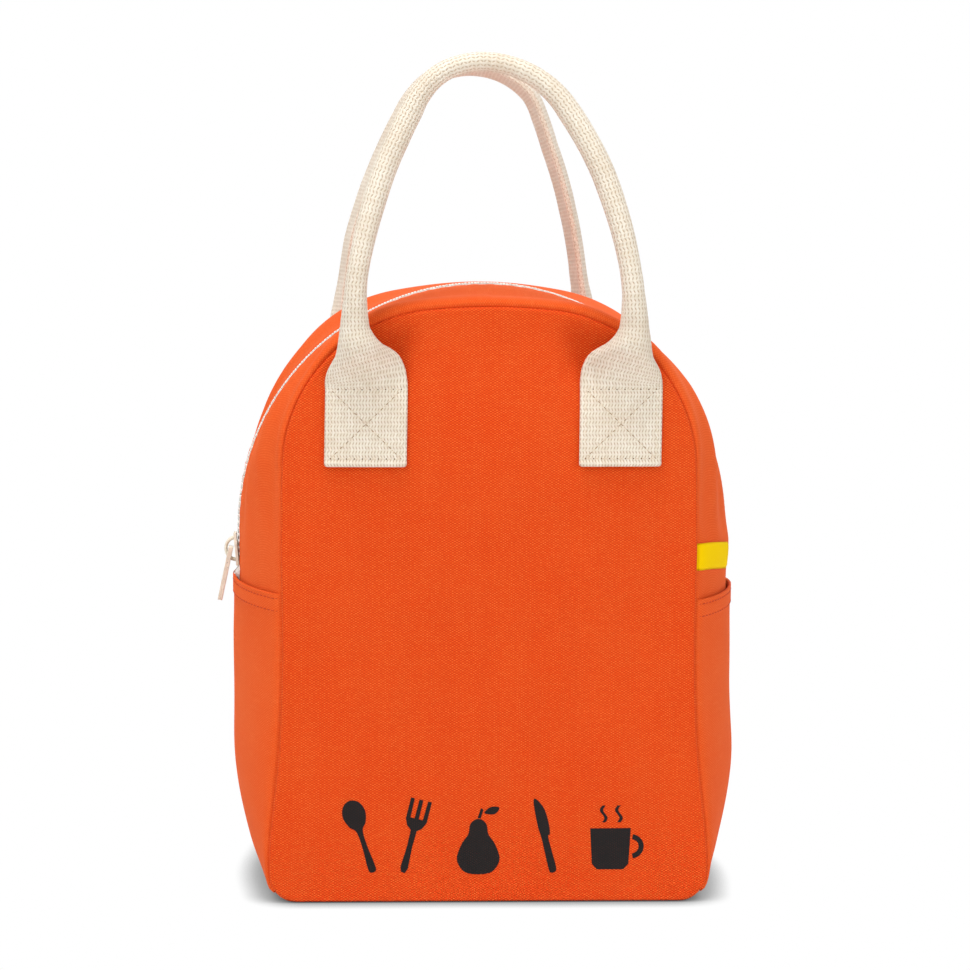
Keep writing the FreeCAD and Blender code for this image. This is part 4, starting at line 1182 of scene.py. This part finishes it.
def teeth_row(side, tooth):
    """Copies of one tooth along the zip; the two rows stand half a pitch apart so that their heads mesh."""
    word = PANEL_WORD[side]
    start = TOOTH_START - (TOOTH_STEP / 2 if side == FRONT else 0)
    copies = []
    for i in range(int((start - TOOTH_END) / TOOTH_STEP) + 1):
        copy = tooth.copy()
        copy.data = tooth.data.copy()
        copy.data.transform(on_arch(start - i * TOOTH_STEP, TOOTH_RADIUS) @ Matrix.Diagonal((1, side, 1, 1)))
        if side == FRONT:
            copy.data.flip_normals()
        bpy.context.collection.objects.link(copy)
        copies.append(copy)
    row = one_piece(copies, f"{word}_teeth")
    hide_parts(f"{word}_zip_teeth")
    settle(row, side)


def zip_stop(name, node, angle, low_y, high_y):
    """A crimped stop: a small block with rounded edges and a pressed dent on its face."""
    piece = block(name, (-1.1, low_y, -0.9), (1.1, high_y, 0.9))
    mode("EDIT")
    pick_faces(piece, lambda c, n: n.x > 0.9)
    bpy.ops.mesh.inset(thickness=0.45 * MM, depth=-0.2 * MM)
    mode("OBJECT")
    rounded_edges(piece, 0.25, 2)
    finished(piece, name, TEETH_PLASTIC)
    piece.data.transform(on_arch(angle, STOP_RADIUS))
    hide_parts(node)
    return piece


def slider_body():
    """Two plates with turned-in sides on a post, and a bridge that the pull hangs from."""
    parts = []
    for word, low, high, facing in (("top", 0.2, 1.5, -1), ("lower", -6.1, -4.9, 1)):
        plate = block(f"{word}_plate", (low, -4.0, -6.8), (high, 4.0, 6.8))
        mode("EDIT")
        cut_across([-3.5, -1.7, 2.0], 2)
        for end, width in ((1, 0.66), (-1, 0.62)):
            pick_faces(plate, lambda c, n: n.z * end > 0.9)
            bpy.ops.transform.resize(value=(1, width, 1))
        for face, rim, depth in ((facing, 0.9, -0.25), (-facing, 0.8, 0.25)):
            pick_faces(plate, lambda c, n: n.x * face > 0.9)
            bpy.ops.mesh.inset(thickness=rim * MM, depth=depth * MM)
        mode("OBJECT")
        rounded_edges(plate, 0.3, 2, 30)
        parts.append(finished(plate, f"{word}_plate", CREAM_PAINT))
    post = block("post", (-5.2, -0.4, -6.4), (0.5, 0.4, -3.4))
    rounded_edges(post, 0.15, 1)
    parts.append(finished(post, "post", CREAM_PAINT))
    bpy.ops.object.select_all(action="DESELECT")
    foot = (BRIDGE_FOOT * MM, 0, 0)
    bpy.ops.mesh.primitive_torus_add(major_radius=4.3 * MM, minor_radius=0.75 * MM, major_segments=36,
                                     minor_segments=12, location=foot, rotation=(math.pi / 2, 0, 0))
    bridge = bpy.context.object
    bpy.ops.object.transform_apply(location=True, rotation=True, scale=True)
    mode("EDIT")
    bpy.ops.mesh.select_all(action="SELECT")
    bpy.ops.transform.resize(value=(0.9, 1.6, 1.05), center_override=foot)
    bpy.ops.mesh.select_all(action="SELECT")
    bpy.ops.mesh.bisect(plane_co=(1.0 * MM, 0, 0), plane_no=(1, 0, 0), clear_inner=True, use_fill=True)
    mode("OBJECT")
    bpy.ops.object.shade_smooth_by_angle(angle=math.radians(50))
    parts.append(finished(bridge, "bridge", CREAM_PAINT))
    piece = one_piece(parts, "slider_body")
    piece.data.transform(on_arch(SLIDER_ANGLE, ZIP_RADIUS))
    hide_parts("zip_slider")
    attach(piece, "slider")


def pull_tab():
    """Flat tab with an eye at its top and a sunk panel on both faces."""
    piece = block("pull", (-0.95, -3.0, -22.0), (0.95, 3.0, 0.55))
    mode("EDIT")
    cut_across([-1.8, 1.8], 1)
    cut_across([-20.3, -6.6, -4.9, -0.55], 2)
    pick_faces(piece, lambda c, n: abs(n.x) > 0.9 and abs(c.y) < 1.8 and -4.9 < c.z < -0.55)
    bpy.ops.mesh.delete(type="FACE")
    pick_edges(piece, lambda a, b: abs(a.x - b.x) < 0.01 and max(abs(a.y), abs(b.y)) < 1.81
               and min(a.z, b.z) > -4.91 and max(a.z, b.z) < -0.54)
    bpy.ops.mesh.bridge_edge_loops()
    pick_faces(piece, lambda c, n: abs(n.x) > 0.9 and abs(c.y) < 1.8 and -20.3 < c.z < -6.6)
    bpy.ops.mesh.inset(thickness=0.35 * MM, depth=-0.3 * MM)
    pick_edges(piece, lambda a, b: max(a.z, b.z) < -21.9 and min(abs(a.y), abs(b.y)) > 2.9)
    bpy.ops.mesh.bevel(offset=1.6 * MM, segments=5, affect="EDGES")
    pick_edges(piece, lambda a, b: min(a.z, b.z) > 0.5 and min(abs(a.y), abs(b.y)) > 2.9)
    bpy.ops.mesh.bevel(offset=0.8 * MM, segments=4, affect="EDGES")
    bpy.ops.mesh.select_all(action="SELECT")
    bpy.ops.mesh.normals_make_consistent(inside=False)
    mode("OBJECT")
    rounded_edges(piece, 0.28, 2, 35)
    finished(piece, "pull_tab", CREAM_PAINT)
    hang = Matrix.Rotation(math.radians(PULL_LEAN), 4, "Y")
    piece.data.transform(Matrix.Translation(Vector(PIVOT) * MM) @ hang)
    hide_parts("zip_pull")
    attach(piece, "pull")


# Stitching and print

STITCH_STATIONS = ((0.0, 0.35), (0.12, 0.85), (0.35, 1.0), (0.65, 1.0), (0.88, 0.85), (1.0, 0.35))
STITCH_SIDES = 6
BOX_HALF = 13.8


def stitch_mesh(name, stitches, radius, material):
    """Short rounded threads, each given by its two ends and the way out of the cloth, in one piece."""
    turns = np.linspace(0, 2 * math.pi, STITCH_SIDES, endpoint=False)
    points, faces = [], []
    for start, end, out in stitches:
        along = (end - start) / np.linalg.norm(end - start)
        out = out - along * (out @ along)
        out /= np.linalg.norm(out)
        side = np.cross(along, out)
        first = len(points)
        for share, size in STITCH_STATIONS:
            rise = 0.25 * radius * (1 - (2 * share - 1) ** 2)
            middle = start + (end - start) * share + out * rise
            points += [middle + radius * size * (math.cos(t) * side + math.sin(t) * out) for t in turns]
        faces += closed_rows(len(STITCH_STATIONS), STITCH_SIDES, first)
        faces.append(tuple(range(first + STITCH_SIDES - 1, first - 1, -1)))
        faces.append(tuple(range(len(points) - STITCH_SIDES, len(points))))
    return mesh_piece(name, points, faces, material)


def along_path(path, outward, pitch=3.0, length=2.2, sink=0.1):
    """Stitches along a path of points; outward is the way out of the cloth at each."""
    steps = lengths_along(path)

    def at(values, place):
        return np.array([np.interp(place, steps, column) for column in values.T])

    stitches = []
    for place in np.arange(0.5, steps[-1] - length, pitch):
        out = at(outward, place + length / 2)
        stitches.append((at(path, place) - out * sink, at(path, place + length) - out * sink, out))
    return stitches


def zip_topstitch(side):
    depth = side * TOPSTITCH
    points, outward, _ = run_above(depth, 400)
    lift = strip_lift(points[:, 0], depth, points[:, 1]) + 0.12
    stitches = along_path(at_depth(points + outward * lift[:, None], depth), at_depth(outward, 0.0))
    piece = stitch_mesh(f"{PANEL_WORD[side]}_topstitch", stitches, 0.28, ORANGE_THREAD)
    settle(piece, side)


def hem_stitches(side, skin):
    """Two rows of thread across a pocket's hem, on its own skin."""
    stitches = []
    for below in HEM_ROWS:
        path = []
        for column in range(1, skin.shape[1] - 1):
            strip = skin[:, column]
            z = strip[-1, 2] - below
            path.append([np.interp(z, strip[:, 2], strip[:, 0]), np.interp(z, strip[:, 2], strip[:, 1]), z])
        path = np.array(path)
        along = np.gradient(path, axis=0)
        out = unit(np.stack([side * np.abs(along[:, 1]), -side * along[:, 0] * np.sign(along[:, 1]),
                             0 * path[:, 0]], 1))
        stitches += along_path(path + 0.05 * out, out, 2.9, 2.2)
    piece = stitch_mesh(f"{SIDE_WORD[side]}_hem_stitches", stitches, 0.24, DARK_THREAD)
    follow_fold(piece)


def tab_stitches(side):
    """A box with both diagonals on each flat end of a handle, and dark dots and dashes at the needle holes of its
    threads: painted shade in the holes.
    """
    threads, dots, dashes = [], [], []
    low, high = TAB_LOW + 3.2, TAB_TOP - 0.6
    for leg in (LEFT, RIGHT):
        middle = leg * TAB_SPACING + TAB_SHIFT_SHARE * HANDLE_SHIFT[side]
        left, right = middle - BOX_HALF, middle + BOX_HALF
        corners = {"a": (left, low), "b": (right, low), "c": (right, high), "d": (left, high)}
        for first, last in ("ab", "bc", "cd", "da", "ac", "bd"):
            line = np.linspace(corners[first], corners[last], 60)
            line[:, 0] += tab_skew(line[:, 1], side)
            path = at_depth(line, side * (face_of(line, side) + WEB_THICK + WEB_GAP))
            row = along_path(path, np.tile([0.0, side, 0.0], (60, 1)), 3.1, 2.1, 0.16)
            threads += row
            if first + last in ("bc", "da"):
                continue
            across = first + last in ("ab", "cd")
            holes, ends, size = (dots, 1, 0.26) if across else (dashes, 2, 0.4)
            for start, end, out in row:
                along = (end - start) / np.linalg.norm(end - start)
                for tip in (start - along * 0.25, end + along * 0.25)[:ends]:
                    holes.append((tip - along * size + out * 0.13, tip + along * size + out * 0.13, out))
    for name, stitches, radius, material in (("tab_stitches", threads, 0.24, TAN_THREAD),
                                             ("needle_shade_dots", dots, 0.27, NEEDLE_SHADE_DOT),
                                             ("needle_shade_dashes", dashes, 0.17, NEEDLE_SHADE_DASH)):
        piece = stitch_mesh(f"{PANEL_WORD[side]}_{name}", stitches, radius, material)
        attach(piece, "front_flap" if side == FRONT else "bag")


def mirrored(points):
    """Closed outline from right-hand points, mirrored about the upright axis."""
    return points + [(-a, b) for a, b in reversed(points) if a > 0]


def smooth_outline(points, steps=8):
    """Closed smooth curve through points."""
    points = np.asarray(points, float)
    made = []
    count = len(points)
    for i in range(count):
        before, start, end, after = (points[(i + k) % count] for k in (-1, 0, 1, 2))
        for t in np.linspace(0, 1, steps, endpoint=False):
            made.append(0.5 * (2 * start + (end - before) * t + (2 * before - 5 * start + 4 * end - after) * t * t
                               + (3 * start - before - 3 * end + after) * t ** 3))
    return np.array(made)


def print_outlines():
    """Plain table-ware: the outline of each shape, its place on the front and its turn in degrees."""
    spoon = [(0, 15), (3.2, 13.4), (4.6, 9.4), (3.4, 5.0), (1.3, 2.2), (1.0, -4), (1.5, -12), (1.3, -14.6), (0, -15.2)]
    fork = [(-4.2, 15), (-4.2, 6.5), (-3.0, 3.8), (-1.2, 2.4), (-1.0, -4), (-1.5, -13), (-0.8, -15), (0.8, -15),
            (1.5, -13), (1.0, -4), (1.2, 2.4), (3.0, 3.8), (4.2, 6.5), (4.2, 15), (2.7, 15), (2.5, 7.2), (0.85, 7.2),
            (0.75, 15), (-0.75, 15), (-0.85, 7.2), (-2.5, 7.2), (-2.7, 15)]
    pear = [(0, -11.5), (5.5, -10.4), (8.4, -5.5), (6.6, 0.6), (4.0, 4.6), (3.2, 8.6), (1.2, 10.6)]
    stalk = [(-0.3, 11.2), (0.9, 11.0), (2.0, 14.6), (1.0, 15.2)]
    leaf = [(2.4, 13.2), (4.8, 15.6), (8.2, 15.4), (6.4, 12.8)]
    knife = [(-0.6, 15.4), (2.4, 11.0), (2.8, 4.0), (2.2, 0.2), (1.3, -1.2), (1.5, -13), (0.6, -15), (-0.9, -15),
             (-1.5, -13), (-1.3, -1.0), (-1.6, 5)]
    cup = [(-8, 8), (-7.2, -6.4), (-5.2, -8.6), (5.2, -8.6), (7.2, -6.4), (8, 8)]
    turns = np.linspace(-1.35, 1.35, 20)
    grip = [(7.8 + 5.4 * math.cos(t), 0.6 + 5.0 * math.sin(t)) for t in turns]
    grip += [(7.8 + 3.4 * math.cos(t), 0.6 + 3.0 * math.sin(t)) for t in turns[::-1]]
    shapes = [(smooth_outline(mirrored(spoon)), (-50, 27), 18), (fork, (-30, 27), -14),
              (smooth_outline(mirrored(pear), 6), (-4, 23), 0), (stalk, (-4, 23), 0),
              (smooth_outline(leaf, 6), (-4, 23), 0), (smooth_outline(knife, 6), (22, 27), 14),
              (cup, (48, 22), 0), (grip, (48, 22), 0)]
    for shift in (-3.4, 2.6):
        steam = [(shift + 0.9 * math.sin(t * 1.6), 10.4 + 1.7 * t) for t in np.linspace(0, 4, 18)]
        shapes.append((steam + [(a + 1.3, b) for a, b in reversed(steam)], (48, 22), 0))
    return shapes


def front_print():
    """Flat ink shapes that lie on the front's canvas."""
    points, faces = [], []
    for outline, place, turn in print_outlines():
        cos, sin = math.cos(math.radians(turn)), math.sin(math.radians(turn))
        spun = np.asarray(outline, float) @ np.array([[cos, sin], [-sin, cos]]) + place
        low, high = spun.min(0), spun.max(0)
        grid = [(x, z) for x in np.arange(low[0] + 1, high[0], 2.5) for z in np.arange(low[1] + 1, high[1], 2.5)]
        spots = [Vector(spot) for spot in [tuple(s) for s in spun] + grid]
        found = delaunay_2d_cdt(spots, [], [list(range(len(spun)))], 1, 1e-6)
        start = len(points)
        points += [tuple(v) for v in found[0]]
        faces += [tuple(start + i for i in face) for face in found[2]]
    flat = np.array(points)
    faces = [f if np.cross(flat[f[1]] - flat[f[0]], flat[f[2]] - flat[f[0]]) > 0 else f[::-1] for f in faces]
    y = panel_face(flat[:, 0], flat[:, 1], FRONT) - 0.13
    piece = mesh_piece("front_print", at_depth(flat, y), faces, INK, flat)
    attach(piece, "bag")


lower_gusset()
for make in (zip_strip, padded_panel, handle):
    for panel_side in (FRONT, BACK):
        make(panel_side)
for pocket_side in (LEFT, RIGHT):
    side_pocket(pocket_side)
side_ribbon()
follow_fold(lining_strip("gusset_inner_lining", "gusset_lining", run_below, 150,
                         np.linspace(-LINING_EDGE, LINING_EDGE, 28), lambda x, y, z: 0.0))
for panel_side in (FRONT, BACK):
    panel_word = PANEL_WORD[panel_side]
    settle(lining_strip(f"{panel_word}_strip_lining", f"{panel_word}_top_lining", run_lining, 130,
                        panel_side * np.linspace(11.5, LINING_EDGE, 24), under_strip), panel_side)
tooth_pattern = one_tooth()
for panel_side in (FRONT, BACK):
    panel_lining(panel_side)
    seam_binding(panel_side)
    zip_tape(panel_side)
    teeth_row(panel_side, tooth_pattern)
    zip_topstitch(panel_side)
    tab_stitches(panel_side)
bpy.data.objects.remove(tooth_pattern)
follow_fold(zip_stop("front_stop", "front_zip_stop", START_STOP, -3.0, -0.7))
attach(zip_stop("back_stop", "back_zip_stop", START_STOP, 0.7, 3.0), "bag")
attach(zip_stop("end_stop", "zip_end_stop", END_STOP, -3.0, 3.0), "bag")
slider_body()
pull_tab()
front_print()


# Stage, light and camera

# Shades of the painted contact shadow on the floor, from full occlusion to none.
FLOOR_SHADOW_SHADES = ((0.0, (0.04, 0.038, 0.036, 1)), (0.5, (0.46, 0.46, 0.46, 1)), (0.86, (1, 1, 1, 1)))
LIGHTS = {
    "key_light": ((-0.9, -1.2, 1.1), (0, 0, 0.13), 0.8, 8.0),
    "fill_light": ((1.1, -1.2, 0.7), (0, 0, 0.13), 1.0, 7.5),
    "back_light": ((0.5, 1.4, 1.2), (0, 0, 0.13), 1.0, 9),
    "top_light": ((-0.25, -0.35, 1.7), (0, 0, 0.2), 0.7, 16),
}
AIM = Vector((0, 0, 0.160))
STAND, FACING, ELEVATION = math.radians(-3.0), math.radians(-1.0), math.radians(5.3)
DISTANCE = 1.17
PICTURE_SHIFT = 0.003


def seen_rays(tree):
    """1 on rays from the camera, also by way of a gloss or through a clear thing."""
    rays = put(tree, "ShaderNodeLightPath").outputs
    seen = Field(rays["Is Glossy Ray"]).step("MAXIMUM", Field(rays["Is Transmission Ray"]))
    return Field(rays["Is Camera Ray"]).step("MAXIMUM", seen)


def floor_material():
    """Pale floor: white to the camera, with a painted contact shadow: its glow is darker only close to where the bag
    stands, by ambient occlusion.
    """
    material, tree = new_material("pale_floor")
    shader = feed_named(tree.nodes["Principled BSDF"], Base_Color=(0.86, 0.86, 0.86, 1), Roughness=0.9)
    shade = feed_named(put(tree, "ShaderNodeAmbientOcclusion", samples=16), Distance=0.015)
    ramp = put(tree, "ShaderNodeValToRGB", Field(shade.outputs["AO"]))
    marks = ramp.color_ramp.elements
    marks.new(0.5)
    for mark, (position, colour) in zip(marks, FLOOR_SHADOW_SHADES):
        mark.position = position
        mark.color = colour
    # The camera sees this glow darkened by occlusion: a painted contact shadow.
    glow_with_painted_shadow = first_out(tree, "ShaderNodeEmission", Field(ramp.outputs[0]), 1.0)
    blend = first_out(tree, "ShaderNodeMixShader", seen_rays(tree), Field(shader.outputs[0]), glow_with_painted_shadow)
    feed(tree.nodes["Material Output"].inputs["Surface"], blend)
    return material


def area_light(name, place, aim, size, power):
    lamp = bpy.data.lights.new(name, "AREA")
    lamp.size = size
    lamp.energy = power
    holder = bpy.data.objects.new(name, lamp)
    bpy.context.collection.objects.link(holder)
    holder.location = place
    holder.rotation_euler = (Vector(aim) - Vector(place)).to_track_quat("-Z", "Y").to_euler()


def bearing(azimuth):
    """Way from the bag towards a camera in that direction, at the camera's elevation."""
    level = math.cos(ELEVATION)
    return Vector((math.sin(azimuth) * level, -math.cos(azimuth) * level, math.sin(ELEVATION)))


bpy.ops.mesh.primitive_plane_add(size=6, location=(0, 0, 0))
floor = bpy.context.object
floor.name = "floor"
floor.data.materials.append(floor_material())

world = bpy.data.worlds.new("studio") if bpy.context.scene.world is None else bpy.context.scene.world
bpy.context.scene.world = world
world.use_nodes = True
sky = world.node_tree
feed_named(sky.nodes["Background"], Color=(1, 1, 1, 1), Strength=spread(seen_rays(sky), 0.0, 1.0, 0.40, 1.0))
for lamp_name, lamp_values in LIGHTS.items():
    area_light(lamp_name, *lamp_values)

camera_data = bpy.data.cameras.new("camera")
camera = bpy.data.objects.new("camera", camera_data)
bpy.context.collection.objects.link(camera)
camera.location = AIM + DISTANCE * bearing(STAND)
camera.rotation_euler = (-bearing(FACING)).to_track_quat("-Z", "Y").to_euler()
camera_data.sensor_width = 36
camera_data.lens = 105.9
turned_back = math.tan(FACING - STAND) * camera_data.lens / camera_data.sensor_width
camera_data.shift_x = PICTURE_SHIFT + turned_back
camera_data.clip_end = 20
bpy.context.scene.camera = camera
bpy.context.scene.view_settings.view_transform = "Standard"
